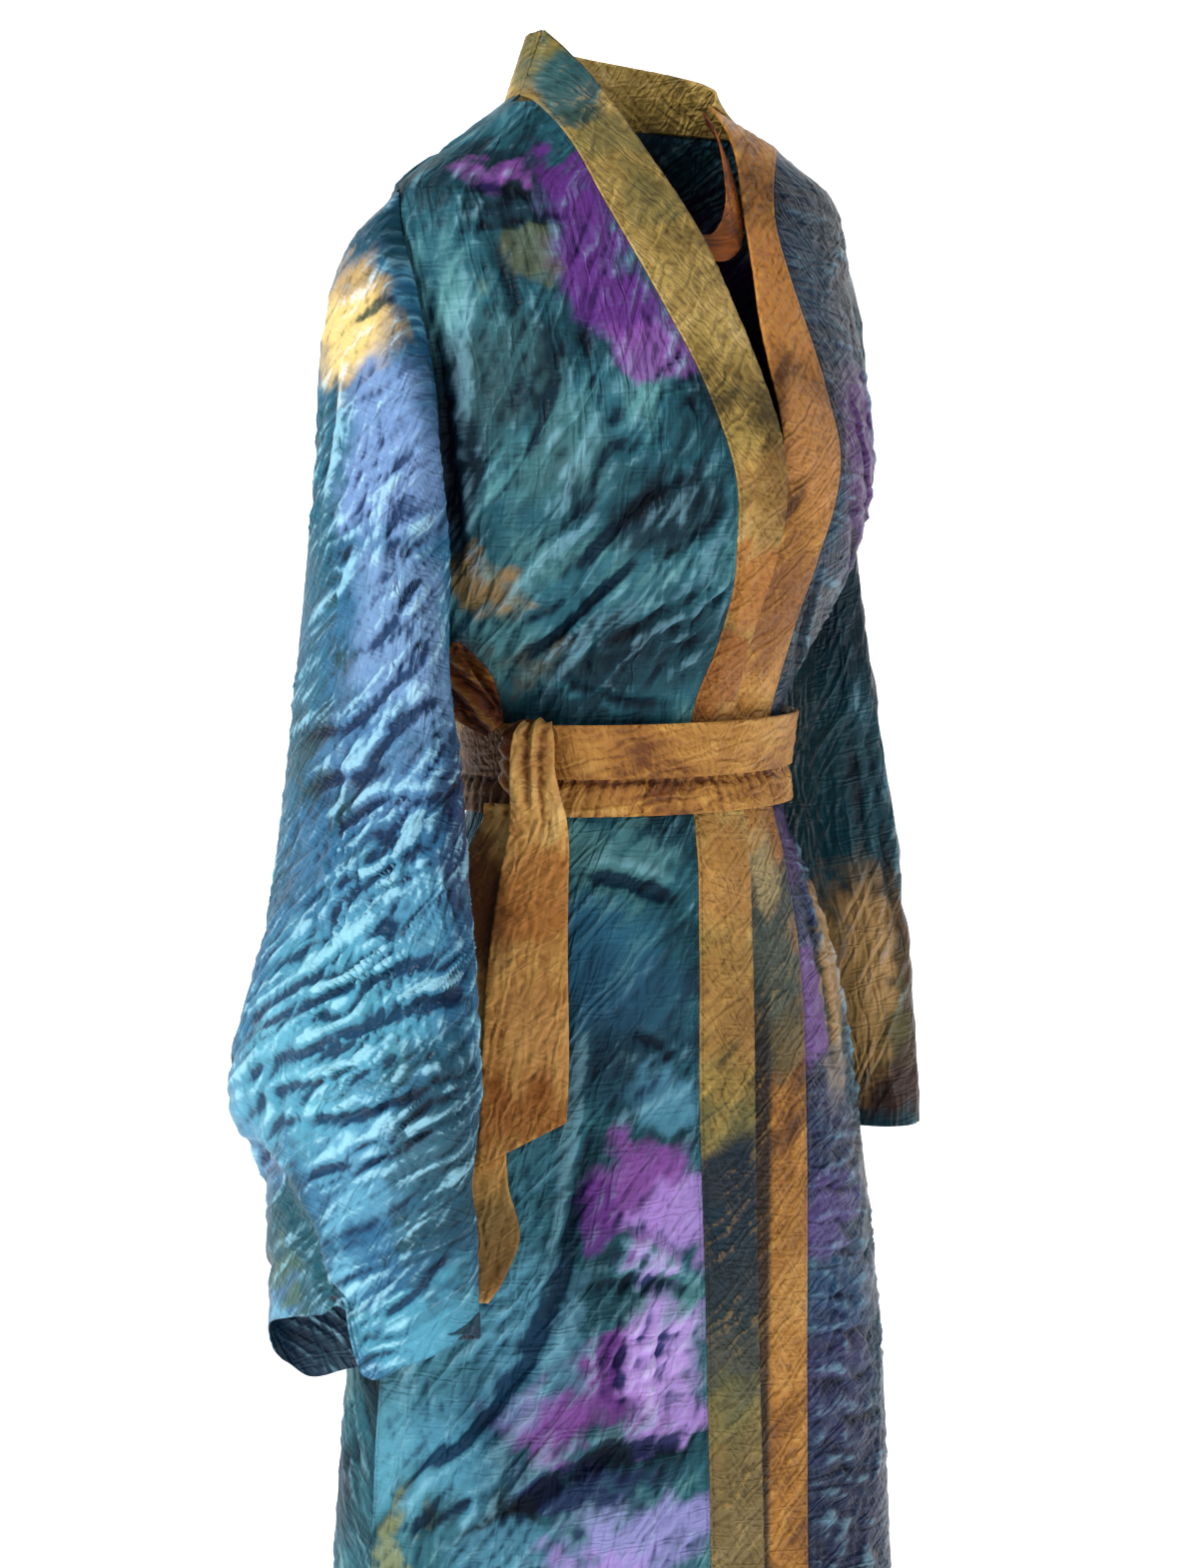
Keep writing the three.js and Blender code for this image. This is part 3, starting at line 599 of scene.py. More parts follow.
def front_band(side, band, lap, columns, rows):
    u, v = grid(columns, rows)
    top = band.data[-1, 0]
    z = HEM + (top - HEM) * v
    line = band(z)
    across = 1 - u if side > 0 else u
    seam = front_point(line.x, z)
    free = np.stack([line.edge_x, line.edge_y, line.edge_z], -1)
    standing = seam + (free - seam) * across[..., None]
    out = lap * smooth(across, 0.02, 0.34) * (1 - smooth(z, -250, -180))
    lying = front_point(standing[..., 0], np.minimum(standing[..., 2], -1), out)
    return lying + (standing - lying) * smooth(z, -150, -70)[..., None]


def neck_band(columns, rows):
    u, v = grid(columns, rows)
    angle = 91 + 178 * u
    row = NECK(angle)
    point = body_point(angle, row.z, -row.lean * v)
    point[..., 2] = row.z + GAP + row.rise * v
    return point


def belt_turn(top, bottom, off, columns, rows):
    u, v = np.meshgrid(np.arange(columns) / columns, np.linspace(0, 1, rows))
    return body_point(360 * u, bottom + (top - bottom) * v, off + BELT.swell * np.sin(np.pi * v))


def directions_at(angle, z):
    out = body_point(angle, z, 1.0) - body_point(angle, z)
    out /= np.linalg.norm(out, axis=-1, keepdims=True)
    return out, np.stack([-out[..., 1], out[..., 0], 0 * out[..., 0]], -1)


def tail(table, slant, columns, rows):
    u, v = grid(columns, rows)
    bottom, top = table.data[0, 0], table.data[-1, 0]
    level = bottom + (top - bottom) * v
    row = table(level)
    along = directions_at(row.angle, BELT.bottom)[1]
    c, s = np.cos(np.radians(row.turn)), np.sin(np.radians(row.turn))
    x, y = along[..., 0], along[..., 1]
    along = np.stack([x * c - y * s, x * s + y * c, 0 * s], -1)
    point = body_point(row.angle, np.minimum(level, BELT.bottom), row.off)
    point[..., 2] = level + slant * (u - 0.5) * (1 - v) ** 2
    return point + along * (row.half * (2 * u - 1))[..., None]


def bow_loop(columns, rows):
    u, v = grid(columns, rows)
    row = LOOP(8 * v)
    angle = KNOT.angle - np.degrees(row.reach / BODY(BELT.middle).side)
    across = directions_at(angle, BELT.middle)[1] * 0.8
    across[..., 2] = 0.6
    return body_point(angle, KNOT.z + row.rise, row.off) + across * (row.half * (2 * u - 1))[..., None]


def throat_strip(columns, rows):
    u, v = grid(columns, rows)
    row = THROAT(5 * (1 - v))
    middle = np.stack([row.x, row.y, row.z], -1)
    ahead = np.gradient(middle, axis=0)
    out = np.stack([middle[..., 0], middle[..., 1], np.full(u.shape, 40.0)], -1)
    across = np.cross(ahead, out)
    across /= np.linalg.norm(across, axis=-1, keepdims=True)
    return middle + across * (row.half * (1 - 2 * u))[..., None]


# ---- Relief ----


def normals(points, wrap):
    if wrap:
        along = np.roll(points, -1, 1) - np.roll(points, 1, 1)
    else:
        along = np.gradient(points, axis=1)
    n = np.cross(along, np.gradient(points, axis=0))
    return n / np.maximum(np.linalg.norm(n, axis=-1, keepdims=True), 1e-9)


# Large odd numbers that scatter the directions of the noise, and the bits that are kept.
MIX_X, MIX_Y, MIX_SEED, MIX_AGAIN, LOW_BITS = 374761393, 668265263, 974711, 1274126177, 0xFFFFFFFF


def noise(x, y, seed):
    """Smooth noise of one cell to a unit, about -1 to 1, the same on every run."""
    xi, yi = np.floor(x).astype(np.int64), np.floor(y).astype(np.int64)
    fx, fy = x - xi, y - yi
    ux, uy = (f * f * f * (f * (f * 6 - 15) + 10) for f in (fx, fy))

    def corner(i, j):
        h = ((xi + i) * MIX_X + (yi + j) * MIX_Y + seed * MIX_SEED) & LOW_BITS
        h = ((h ^ (h >> 13)) * MIX_AGAIN) & LOW_BITS
        turn = ((h ^ (h >> 16)) & 1023) * (2 * np.pi / 1024)
        return np.cos(turn) * (fx - i) + np.sin(turn) * (fy - j)

    low = corner(0, 0) * (1 - ux) + corner(1, 0) * ux
    high = corner(0, 1) * (1 - ux) + corner(1, 1) * ux
    return 1.5 * (low * (1 - uy) + high * uy)


def crinkle(s, t, lean, seed, long=62, wide=17, cross=0.62):
    """Crushed silk: facets between sharp creases that run mostly one way, lean degrees up from level."""
    total = np.zeros(s.shape)
    for k, (tilt, size, weight) in enumerate(((-6, 1, 1), (15, 0.78, cross), (68, 0.92, 0.6 * cross))):
        a = math.radians(lean + tilt)
        x = (s * math.cos(a) + t * math.sin(a)) / (long * size)
        y = (t * math.cos(a) - s * math.sin(a)) / (wide * size)
        phase = y + 0.95 * noise(x, 0.45 * y, seed + 4 * k) + 0.4 * noise(2.3 * x, y, seed + 4 * k + 1)
        wave = 4 * np.abs(phase - np.floor(phase + 0.5)) - 1
        patch = np.clip(0.6 + 1.1 * noise(0.8 * x, 0.33 * y, seed + 4 * k + 2), 0.05, 1.5)
        total += weight * patch * wave
    return total


def creased(points, rows, place, out):
    """How far creases stand in or out at each point: a trough beside a lower ridge, or a ridge."""
    height = np.zeros(points.shape[:-1])
    for line, width, depth in rows:
        a, b = np.array(line, float).T
        t = np.linspace(0, len(line) - 1, 4 * (len(line) - 1) + 1)
        curve = Rows("t a b", zip(range(len(line)), a, b))(t)
        path = place(curve.a, curve.b)
        reach = 3.2 * width
        near = ((points > path.min(0) - reach) & (points < path.max(0) + reach)).all(-1)
        if not near.any():
            continue
        p, n = points[near], out[near]
        best = np.full(len(p), np.inf)
        side, share = np.zeros(len(p)), np.zeros(len(p))
        for k in range(len(path) - 1):
            step = path[k + 1] - path[k]
            part = np.clip(((p - path[k]) @ step) / (step @ step), 0, 1)
            apart = p - (path[k] + part[:, None] * step)
            distance = np.linalg.norm(apart, axis=1)
            closer = distance < best
            best[closer] = distance[closer]
            sign = np.sign(np.einsum("ij,ij->i", np.cross(step, apart), n))
            side[closer], share[closer] = sign[closer], ((k + part) / (len(path) - 1))[closer]
        fade = np.sin(np.pi * np.clip(share, 0.001, 0.999)) ** 0.6
        across = best * side / width
        shape = -np.exp(-(across**2)) + 0.45 * np.exp(-((across - 1.7) ** 2))
        height[near] += depth * fade * shape
    return height


def crushed(points, base, places):
    """How strong the crinkle is at each point: base, and more round each place by its size and gain."""
    gain = np.full(points.shape[:-1], float(base))
    for at, size, more in places:
        gain += more * np.exp(-((points - np.array(at)) ** 2).sum(-1) / size**2)
    return np.clip(gain, 0, None)


def flat_places(points, wrap):
    """How far across and up the cloth each point lies, in millimetres, and the cloth's length round."""
    ring = np.concatenate([points, points[:, :1]], 1) if wrap else points
    s = np.cumsum(np.linalg.norm(np.diff(ring, axis=1)[..., :2], axis=-1), axis=1)
    s = np.concatenate([np.zeros((len(points), 1)), s], 1)
    middle = s[:, -1:] / 2
    t = points[..., 2]
    t = np.concatenate([t, t[:, :1]], 1) if wrap else t
    return s - middle, t


def looped(relief, s, t):
    """relief(s, t) on a tube, blended so that its two ends agree where it closes."""
    length = (s[:, -1:] - s[:, :1]) * np.ones_like(s)
    share = (s - s[:, :1]) / length
    w = smooth(share, 0.9, 1)
    return relief(s, t) * (1 - w) + relief(s - length, t) * w


# ---- Meshes ----


def surface(points, wrap=False, relief=None, sewn=""):
    """What a shell is built on. sewn names the edges where its relief ends: l, r, t and b."""
    out = normals(points, wrap)
    s, t = flat_places(points, wrap)
    columns = points.shape[1]
    height = np.zeros(points.shape[:2])
    if relief is not None:
        height = (looped(relief, s, t) if wrap else relief(s, t))[:, :columns]
    up = np.cumsum(np.linalg.norm(np.diff(points, axis=0), axis=-1), axis=0)
    up = np.concatenate([np.zeros((1, columns)), up])
    sides = {"l": (s - s[:, :1])[:, :columns], "r": (s[:, -1:] - s)[:, :columns], "b": up, "t": up[-1] - up}
    edge = np.full(points.shape[:2], FAR_FROM_EDGE)
    for key in sewn:
        edge = np.minimum(edge, sides[key])
    return SimpleNamespace(points=points, out=out, height=height, edge=edge, s=s, t=t)


def build(name, base, extra=0.0, wall=1.0, wrap=False, low=None, high=None, sewn_flat=8.0, form=0.0):
    """A thin closed shell: base's relief and extra, held between low and high, over the plain form."""
    height = (base.height + extra) * smooth(base.edge, 0.5, sewn_flat)
    if low is not None:
        height = np.clip(height, low, high)
    outer = base.points + base.out * (height + form)[..., None]
    inner = outer - base.out * wall
    rows, columns = height.shape
    r, c = np.meshgrid(np.arange(rows - 1), np.arange(columns if wrap else columns - 1), indexing="ij")
    up, along, top, right = r[:, 0], c[0], rows - 1, columns - 1
    # Corners of the faces as (row, column, side), the side being 0 outside and 1 inside.
    walls = [
        ((r, c, 0), (r, c + 1, 0), (r + 1, c + 1, 0), (r + 1, c, 0)),
        ((r, c, 1), (r + 1, c, 1), (r + 1, c + 1, 1), (r, c + 1, 1)),
        ((0, along, 1), (0, along + 1, 1), (0, along + 1, 0), (0, along, 0)),
        ((top, along, 0), (top, along + 1, 0), (top, along + 1, 1), (top, along, 1)),
    ]
    if not wrap:
        walls.append(((up, 0, 0), (up + 1, 0, 0), (up + 1, 0, 1), (up, 0, 1)))
        walls.append(((up, right, 1), (up + 1, right, 1), (up + 1, right, 0), (up, right, 0)))
    corners = [np.stack([np.stack(np.broadcast_arrays(*p), -1) for p in quad], -2) for quad in walls]
    i, j, side = np.moveaxis(np.concatenate([quad.reshape(-1, 4, 3) for quad in corners]), -1, 0)
    faces = side * height.size + i * columns + j % columns
    uv = np.stack([base.s[i, j], base.t[i, j]], -1) / 1000
    verts = np.concatenate([outer.reshape(-1, 3), inner.reshape(-1, 3)]) / 1000
    both = lambda a: np.concatenate([a.ravel(), a.ravel()])
    wrong_side = np.repeat([0.0, 1.0], height.size)
    return mesh_object(name, verts, faces, uv, crease=both(height), edge=both(base.edge), inside=wrong_side)


def mesh_object(name, verts, faces, uv, **marks):
    """An object with places on the cloth as its UV map, and with its marks as attributes."""
    mesh = bpy.data.meshes.new(name)
    mesh.vertices.add(len(verts))
    mesh.vertices.foreach_set("co", verts.astype(np.float32).ravel())
    mesh.loops.add(faces.size)
    mesh.loops.foreach_set("vertex_index", faces.astype(np.int32).ravel())
    mesh.polygons.add(len(faces))
    mesh.polygons.foreach_set("loop_start", np.arange(0, faces.size, faces.shape[1], dtype=np.int32))
    mesh.polygons.foreach_set("loop_total", np.full(len(faces), faces.shape[1], dtype=np.int32))
    mesh.update(calc_edges=True)
    mesh.polygons.foreach_set("use_smooth", np.ones(len(faces), bool))
    layer = mesh.uv_layers.new(name="cloth")
    layer.data.foreach_set("uv", uv.astype(np.float32).ravel())
    for label, values in marks.items():
        attribute = mesh.attributes.new(label, "FLOAT", "POINT")
        attribute.data.foreach_set("value", values.astype(np.float32))
    mesh.validate()
    piece = bpy.data.objects.new(name + "_cloth", mesh)
    bpy.context.scene.collection.objects.link(piece)
    return piece


# ---- Materials ----


class Look:
    """A material made of nodes, with short ways to add and join them."""

    def __init__(self, name):
        self.material = bpy.data.materials.new(name)
        self.material.use_nodes = True
        self.tree = self.material.node_tree
        self.tree.nodes.clear()

    def add(self, kind, values=(), **settings):
        node = self.tree.nodes.new(kind)
        for key, value in settings.items():
            setattr(node, key, value)
        for key, value in dict(values).items():
            if isinstance(value, bpy.types.NodeSocket):
                self.tree.links.new(value, node.inputs[key])
            else:
                node.inputs[key].default_value = value
        return node

    def done(self, values):
        shader = self.add("ShaderNodeBsdfPrincipled", values)
        self.add("ShaderNodeOutputMaterial", {"Surface": shader.outputs["BSDF"]})
        return self.material

    def math(self, operation, a, b=0.0):
        return self.add("ShaderNodeMath", {0: a, 1: b}, operation=operation).outputs[0]

    def plus(self, a, b):
        return self.math("ADD", a, b)

    def minus(self, a, b):
        return self.math("SUBTRACT", a, b)

    def times(self, a, b):
        return self.math("MULTIPLY", a, b)

    def wave(self, value, length):
        return self.math("SINE", self.times(value, 2 * math.pi / length))

    def vector(self, operation, a, b=(0, 0, 0)):
        node = self.add("ShaderNodeVectorMath", {0: a, 1: b}, operation=operation)
        return node.outputs["Value" if operation == "LENGTH" else "Vector"]

    def marked(self, name):
        return self.add("ShaderNodeAttribute", attribute_name=name).outputs["Fac"]

    def scaled(self, a, by):
        return self.add("ShaderNodeVectorMath", {0: a, "Scale": by}, operation="SCALE").outputs["Vector"]

    def ranged(self, value, low, high, to_low=0.0, to_high=1.0):
        values = {"Value": value, "From Min": low, "From Max": high, "To Min": to_low, "To Max": to_high}
        return self.add("ShaderNodeMapRange", values, interpolation_type="SMOOTHSTEP").outputs["Result"]

    def mix(self, share, a, b, blend="MIX"):
        values = {0: share, 6: a, 7: b}
        return self.add("ShaderNodeMix", values, data_type="RGBA", blend_type=blend).outputs[2]

    def noise(self, vector, scale, detail=3.0):
        values = {"Vector": vector, "Scale": scale, "Detail": detail, "Roughness": 0.55}
        return self.add("ShaderNodeTexNoise", values)

    def drawn_out(self, uv, lean, long, wide):
        """Cloth places turned to run along the creases, one unit being long by wide metres."""
        turned = self.add("ShaderNodeMapping", {"Vector": uv, "Rotation": (0, 0, -math.radians(lean))})
        turned = turned.outputs["Vector"]
        sized = self.add("ShaderNodeMapping", {"Vector": turned, "Scale": (1 / long, 1 / wide, 1)})
        return sized.outputs["Vector"]

    def creases(self, uv, lean, long, wide):
        """Facets between sharp creases, from 0 in a valley to 1 on a crest."""
        place = self.drawn_out(uv, lean, long, wide)
        wander = self.noise(place, 0.7, 2.0).outputs["Fac"]
        across = self.add("ShaderNodeSeparateXYZ", {"Vector": place}).outputs[1]
        phase = self.plus(across, self.times(wander, 3.2))
        wave = self.times(self.math("PINGPONG", phase, 0.5), 2.0)
        patch = self.ranged(self.noise(place, 0.45, 1.0).outputs["Fac"], 0.35, 0.62, 0.25, 1.0)
        return self.times(wave, patch)


def colour(r, g, b):
    """A colour given as a picture shows it, 0 to 255, turned into light."""
    line = lambda c: c / 12.92 if c <= 0.04045 else ((c + 0.055) / 1.055) ** 2.4
    return (*(line(c / 255) for c in (r, g, b)), 1.0)


DYES = """
ink 14 34 46
petrol 24 66 78
teal 44 98 112
sea 88 144 148
blue 44 104 142
sky 98 166 196
cyan 92 176 200
periwinkle 98 142 188
purple 98 46 130
orchid 140 80 165
lavender 188 150 232
navy 34 46 88
olive 104 104 62
gold 176 124 54
ochre 150 98 40
rust 150 78 24
brown 96 56 26
cream 214 190 128
"""
TINTS = {name: colour(*map(float, parts)) for name, *parts in map(str.split, DYES.strip().splitlines())}


def tint(words):
    """A colour given by its name or by its three parts."""
    return TINTS[words[0]] if len(words) == 1 else colour(*map(float, words))


def shades(text):
    """Colours written one after another with bars between them."""
    return [tint(part.split()) for part in text.split("|")]


# Colours of the inner face, a duller reverse of the cloth that also paints the shade inside the robe; of the
# painted shadow beside the right band's lap; and of the stitches.
WRONG_SIDE_SHADE, LAP_SHADOW, STITCH_SHADE = colour(16, 26, 44), colour(14, 18, 22), (0.3, 0.3, 0.3, 1)
MIDDLE = (0.5, 0.5, 0.5)
STITCH, THREAD = 0.0032, 0.0011  # how far apart stitches and threads are, in metres
BUMP = 0.0017  # height of the fine creases, in metres


def silk(
    name,
    tones,
    patches,
    lean,
    valley,
    crest,
    gloss=0.34,
    crest_highlight_share=0.5,
    spread=0.045,
    crush=1.0,
    bite=2.6,
    long=0.055,
    wide=0.0105,
    turn=27,
    wrong=0.0,
    shine=0.4,
    beside_lap=False,
):
    """Crushed silk.

    tones are its ground colours from dark to light. patches are the dyed places on it, with places of painted
    shade and painted light on some pieces, and spread is how far their edges wander, in metres. The fine
    creases lean by lean degrees, are long by wide metres, and stand by crush; others cross them at turn
    degrees. The relief paints shade into a valley, multiplying by valley, and a highlight onto a crest,
    screening crest over it; this stands in for the satin's light and shade, and partly for dye lying heavier
    in the folds. Relief of bite millimetres gives a valley its full painted shade, and a crest up to
    crest_highlight_share of its painted highlight. wrong is how far the inner face turns to a dull dark
    colour, a duller reverse of the cloth that also paints the shade inside the robe. beside_lap paints the
    shadow that the right band, lying over the left band, casts on it beside its edge.
    """
    look = Look(name)
    place = look.add("ShaderNodeTexCoord").outputs["Object"]
    uv = look.add("ShaderNodeUVMap", uv_map="cloth").outputs["UV"]
    crease, edge = look.marked("crease"), look.marked("edge")
    broad = look.noise(place, 11.0, 3.0)
    small = look.noise(place, 60.0, 3.0)
    folds = look.creases(uv, lean, long, wide)
    cross = look.creases(uv, lean + turn, 0.55 * long, 0.7 * wide)
    fine = look.creases(uv, lean - 48, 0.018, 0.005)
    wrinkle = look.plus(folds, look.times(cross, 0.6))
    wrinkle = look.minus(look.plus(wrinkle, look.times(fine, 0.35)), 0.62)
    feather = look.noise(look.drawn_out(uv, lean, 0.05, 0.016), 1.0, 1.5).outputs["Fac"]
    feather = look.minus(feather, 0.5)
    wander = look.scaled(look.vector("SUBTRACT", broad.outputs["Color"], MIDDLE), 2 * spread)
    fray = look.scaled(look.vector("SUBTRACT", small.outputs["Color"], MIDDLE), 0.03)
    drawn = look.add("ShaderNodeCombineXYZ", {"Z": look.times(feather, 0.06)})
    warped = look.vector("ADD", fray, drawn.outputs[0])
    warped = look.vector("ADD", look.vector("ADD", place, wander), warped)
    tone = look.plus(broad.outputs["Fac"], look.times(feather, 0.35))
    # The fine creases shift the ground tone too, a little lighter on their crests. This is partly painted
    # highlight and partly dye gathered in the folds.
    tone = look.plus(tone, look.times(wrinkle, 0.1))
    ground = look.add("ShaderNodeValToRGB", {"Fac": tone})
    ramp = ground.color_ramp
    while len(ramp.elements) < len(tones):
        ramp.elements.new(0.5)
    for k, shade in enumerate(tones):
        ramp.elements[k].position = 0.3 + 0.4 * k / (len(tones) - 1)
        ramp.elements[k].color = shade
    dyed = ground.outputs["Color"]
    for at, size, shade, strength in patches:
        away = look.vector("SUBTRACT", warped, tuple(c / 1000 for c in at))
        away = look.vector("MULTIPLY", away, tuple(1000 / c for c in size))
        within = look.ranged(look.vector("LENGTH", away), 1.25, 0.6, 0.0, strength)
        dyed = look.mix(within, dyed, shade)
    # The inner face turns dull and dark. This is a duller reverse of the cloth, and also painted shade inside
    # the robe.
    dyed = look.mix(look.times(look.marked("inside"), wrong), dyed, WRONG_SIDE_SHADE)
    # Painted shadow: a dark strip on the left band below the belt, beside the edge of the right band that
    # lies over it, where that band's shadow falls.
    if beside_lap:
        height = look.add("ShaderNodeSeparateXYZ", {"Vector": place}).outputs[2]
        strip = look.times(look.ranged(edge, 34.0, 40.0), look.ranged(height, -0.54, -0.62))
        dyed = look.mix(look.times(strip, 0.9), dyed, LAP_SHADOW)
    # Painted shade and highlight from the relief: the ground darkens in the valleys and lightens on the
    # crests. This stands in for the satin's light and shade, and partly for dye lying heavier in the folds.
    lift = look.times(wrinkle, 1.6 * crush)
    lift = look.plus(look.times(crease, 0.85), lift)
    dark = look.mix(1.0, dyed, valley, "MULTIPLY")
    toned = look.mix(look.ranged(lift, 0.0, -bite, 0.0, 0.96), dyed, dark)
    light = look.mix(1.0, toned, crest, "SCREEN")
    toned = look.mix(look.ranged(lift, 0.3, bite, 0.0, crest_highlight_share), toned, light)
    run = look.add("ShaderNodeSeparateXYZ", {"Vector": uv})
    both = look.plus(run.outputs[0], run.outputs[1])
    dash = look.ranged(look.wave(both, STITCH), -0.4, 0.0)
    line = look.ranged(look.math("ABSOLUTE", look.minus(edge, 2.6)), 0.7, 0.25)
    stitch = look.times(dash, line)
    sunk = look.mix(1.0, toned, STITCH_SHADE, "MULTIPLY")
    toned = look.mix(look.times(stitch, 0.45), toned, sunk)
    weave = look.times(look.wave(run.outputs[0], THREAD), look.wave(run.outputs[1], THREAD))
    relief = look.plus(look.times(wrinkle, crush), look.times(weave, 0.006))
    relief = look.minus(relief, look.times(stitch, 0.25))
    bump = look.add("ShaderNodeBump", {"Strength": 1.0, "Distance": BUMP, "Height": relief})
    rough = look.ranged(small.outputs["Fac"], 0.3, 0.7, gloss + 0.06, gloss - 0.06)
    return look.done({
        "Base Color": toned,
        "Roughness": rough,
        "Normal": bump.outputs["Normal"],
        "Specular IOR Level": shine,
        "Sheen Weight": 0.07 * shine,
        "Sheen Roughness": 0.35,
    })


# ---- The pieces ----


def spot(angle, z):
    return tuple(float(c) for c in body_point(angle, z))


def spot_on(side, rings, cuff):
    """Places on a sleeve by their share round it and their share up."""

    def place(share, up):
        return tuple(float(c) for c in sleeve_point(side, rings, cuff, [share], [up])[0])

    return place


def on_band(band):
    """Places in the middle of a band by their height."""

    def place(z):
        x = (band(z).x + band(z).edge_x) / 2
        return float(x), float(front_point(x, z)[1]), z

    return place


def at_point(*point):
    return point


def dye_and_shade_patches(place, text):
    """Patches of dye, painted shade and painted light: where each one's middle is, its reach in three ways,
    its tint and its strength.
    """
    found = []
    for at, reach, look in groups(text):
        *words, strength = look.split()
        found.append((place(*numbers(at)), numbers(reach), tint(words), float(strength)))
    return found


def crushes(place, text):
    """Places where the crinkle is stronger or weaker: where each one is, its size and its gain."""
    return [(place(*numbers(at)), *numbers(gain)) for at, gain in groups(text)]


on_sleeve_right = spot_on(-1, SLEEVE_RIGHT, CUFF_RIGHT)
on_sleeve_left = spot_on(1, SLEEVE_LEFT, CUFF_LEFT)
# Painted shade and painted highlight: what the ground is multiplied by in a valley, and the sheen highlight
# that is screened over it on a crest.
VALLEY_SHADE = (0.06, 0.13, 0.22, 1)
CREST_HIGHLIGHT = colour(130, 178, 198)
GOLD_VALLEY_SHADE = (0.26, 0.15, 0.08, 1)
GOLD_CREST_HIGHLIGHT = colour(150, 112, 44)

band_right = band_line(BAND_RIGHT)
band_left = band_line(BAND_LEFT)


def dress_body(name, points, creases, lean, seed, amount, places=(), **limits):
    strength = crushed(points, amount, places)

    def relief(s, t):
        near_belt = smooth(np.abs(t - BELT.middle), 34, 70)
        return strength * crinkle(s, t, lean, seed) * (0.25 + 0.75 * near_belt)

    base = surface(points, relief=relief, sewn="lrt")
    extra = creased(points, creases, body_point, base.out)
    return build(name, base, extra, **limits)


CRUSHED_FRONT_RIGHT = crushes(spot, """
-24 -300 | 62 0.9
-40 -340 | 50 0.5
-44 -80 | 34 0.6
-26 -450 | 60 -0.8
-30 -540 | 60 -0.7
-20 -790 | 70 0.5
-60 -880 | 90 0.5
""")
panel = front_panel(-1, band_right, -5, 130, 356)
front_right = dress_body(
    "front_right", panel, CREASES_FRONT_RIGHT, 50, 11, 1.25, CRUSHED_FRONT_RIGHT, low=-6, high=5
)
CRUSHED_FRONT_LEFT = crushes(spot, """
30 -720 | 130 0.7
28 -900 | 130 0.7
""")
panel = front_panel(1, band_left, -26, 92, 268)
front_left = dress_body(
    "front_left", panel, CREASES_FRONT_LEFT, -6, 23, 1.1, CRUSHED_FRONT_LEFT, low=-5, high=4
)
back = dress_body("back", back_panel(150, 222), CREASES_BACK, -58, 37, 1.5, low=-5, high=4)


def dress_sleeve(name, side, form, lean, seed, amount, size, weave, places=(), ledge=None):
    rings, cuff, folds, creases = form
    points, share, up = sleeve_panel(side, rings, cuff, folds, *size)
    strength = crushed(points, amount, places)
    free = 0.3 + 0.7 * smooth(np.abs(share % 1 - 0.5), 0.14, 0.27)
    closed = lambda a: np.concatenate([a, a[:, :1]], 1)

    def relief(s, t):
        return closed(strength) * closed(free) * crinkle(s, t, lean, seed, *weave)

    base = surface(points, wrap=True, relief=relief, sewn="t")
    on_sleeve = lambda share, up: sleeve_point(side, rings, cuff, share, up)
    extra = creased(points, creases, on_sleeve, base.out) * free
    stand = 0.0 if ledge is None else ledge(share, up)
    return build(name, base, extra, wrap=True, low=-6, high=8, form=stand)


LEDGE = Rows("share up", """
-0.2 0.27
-0.17 0.255
-0.12 0.222
-0.049 0.178
-0.012 0.146
0.028 0.106
0.065 0.1
0.09 0.1
""")


def turned_under(share, up):
    """Where the sleeve's lower corner is folded under: the upper layer stands proud above a line."""
    turn = (share + 0.5) % 1 - 0.5
    line = LEDGE(np.clip(turn, -0.2, 0.09)).up
    folded = smooth(turn, -0.24, -0.16) * (1 - smooth(turn, 0.035, 0.075))
    above = up - line
    proud = 6.5 * smooth(above, -0.006, 0.012) * (1 - smooth(above, 0.02, 0.16))
    groove = -2.5 * np.exp(-(((above + 0.02) / 0.016) ** 2))
    return folded * (proud + groove)


CRUSHED_SLEEVE_RIGHT = crushes(on_sleeve_right, """
0.12 0.62 | 75 1.2
0.1 0.46 | 85 1.4
0.0 0.34 | 80 1.3
0.12 0.3 | 70 0.9
0.14 0.1 | 40 1.0
0.08 0.76 | 50 0.5
-0.03 0.66 | 45 -0.5
-0.06 0.12 | 42 -0.7
0.12 0.54 | 60 0.8
0.14 0.76 | 60 0.9
0.26 0.05 | 34 -1.6
""")
form = (SLEEVE_RIGHT, CUFF_RIGHT, SLEEVE_FOLDS_RIGHT, CREASES_SLEEVE_RIGHT)
size, weave = (168, 276), (80, 12.5, 0.55)
sleeve_right = dress_sleeve(
    "sleeve_right", -1, form, 35, 51, 1.0, size, weave, CRUSHED_SLEEVE_RIGHT, turned_under
)
form = (SLEEVE_LEFT, CUFF_LEFT, SLEEVE_FOLDS_LEFT, CREASES_SLEEVE_LEFT)
sleeve_left = dress_sleeve("sleeve_left", 1, form, 64, 67, 1.1, (112, 200), (95, 17, 0.5))


def dress_band(
    name, points, seed, amount, sewn="", lean=38, wrap=False, wall=1.8, shape=None, low=-0.8, high=0.9
):
    def relief(s, t):
        base = amount * crinkle(s, t, lean, seed, 19, 8, 1.0)
        return base if shape is None else base + shape(s, t)

    base = surface(points, wrap, relief, sewn)
    return build(name, base, wall=wall, wrap=wrap, low=low, high=high, sewn_flat=3.0)


def puckers(s, t):
    """Small upright gathers of the belt's under turn."""
    pace = s / 9.5 + 0.6 * noise(s / 30, t / 60, 91)
    under_edge = 1.6 * np.exp(-(((t - BELT.middle + 8.5) / 2.6) ** 2))
    return 1.3 * np.cos(2 * np.pi * pace) * (0.6 + 0.4 * noise(s / 24, t / 24, 92)) - under_edge


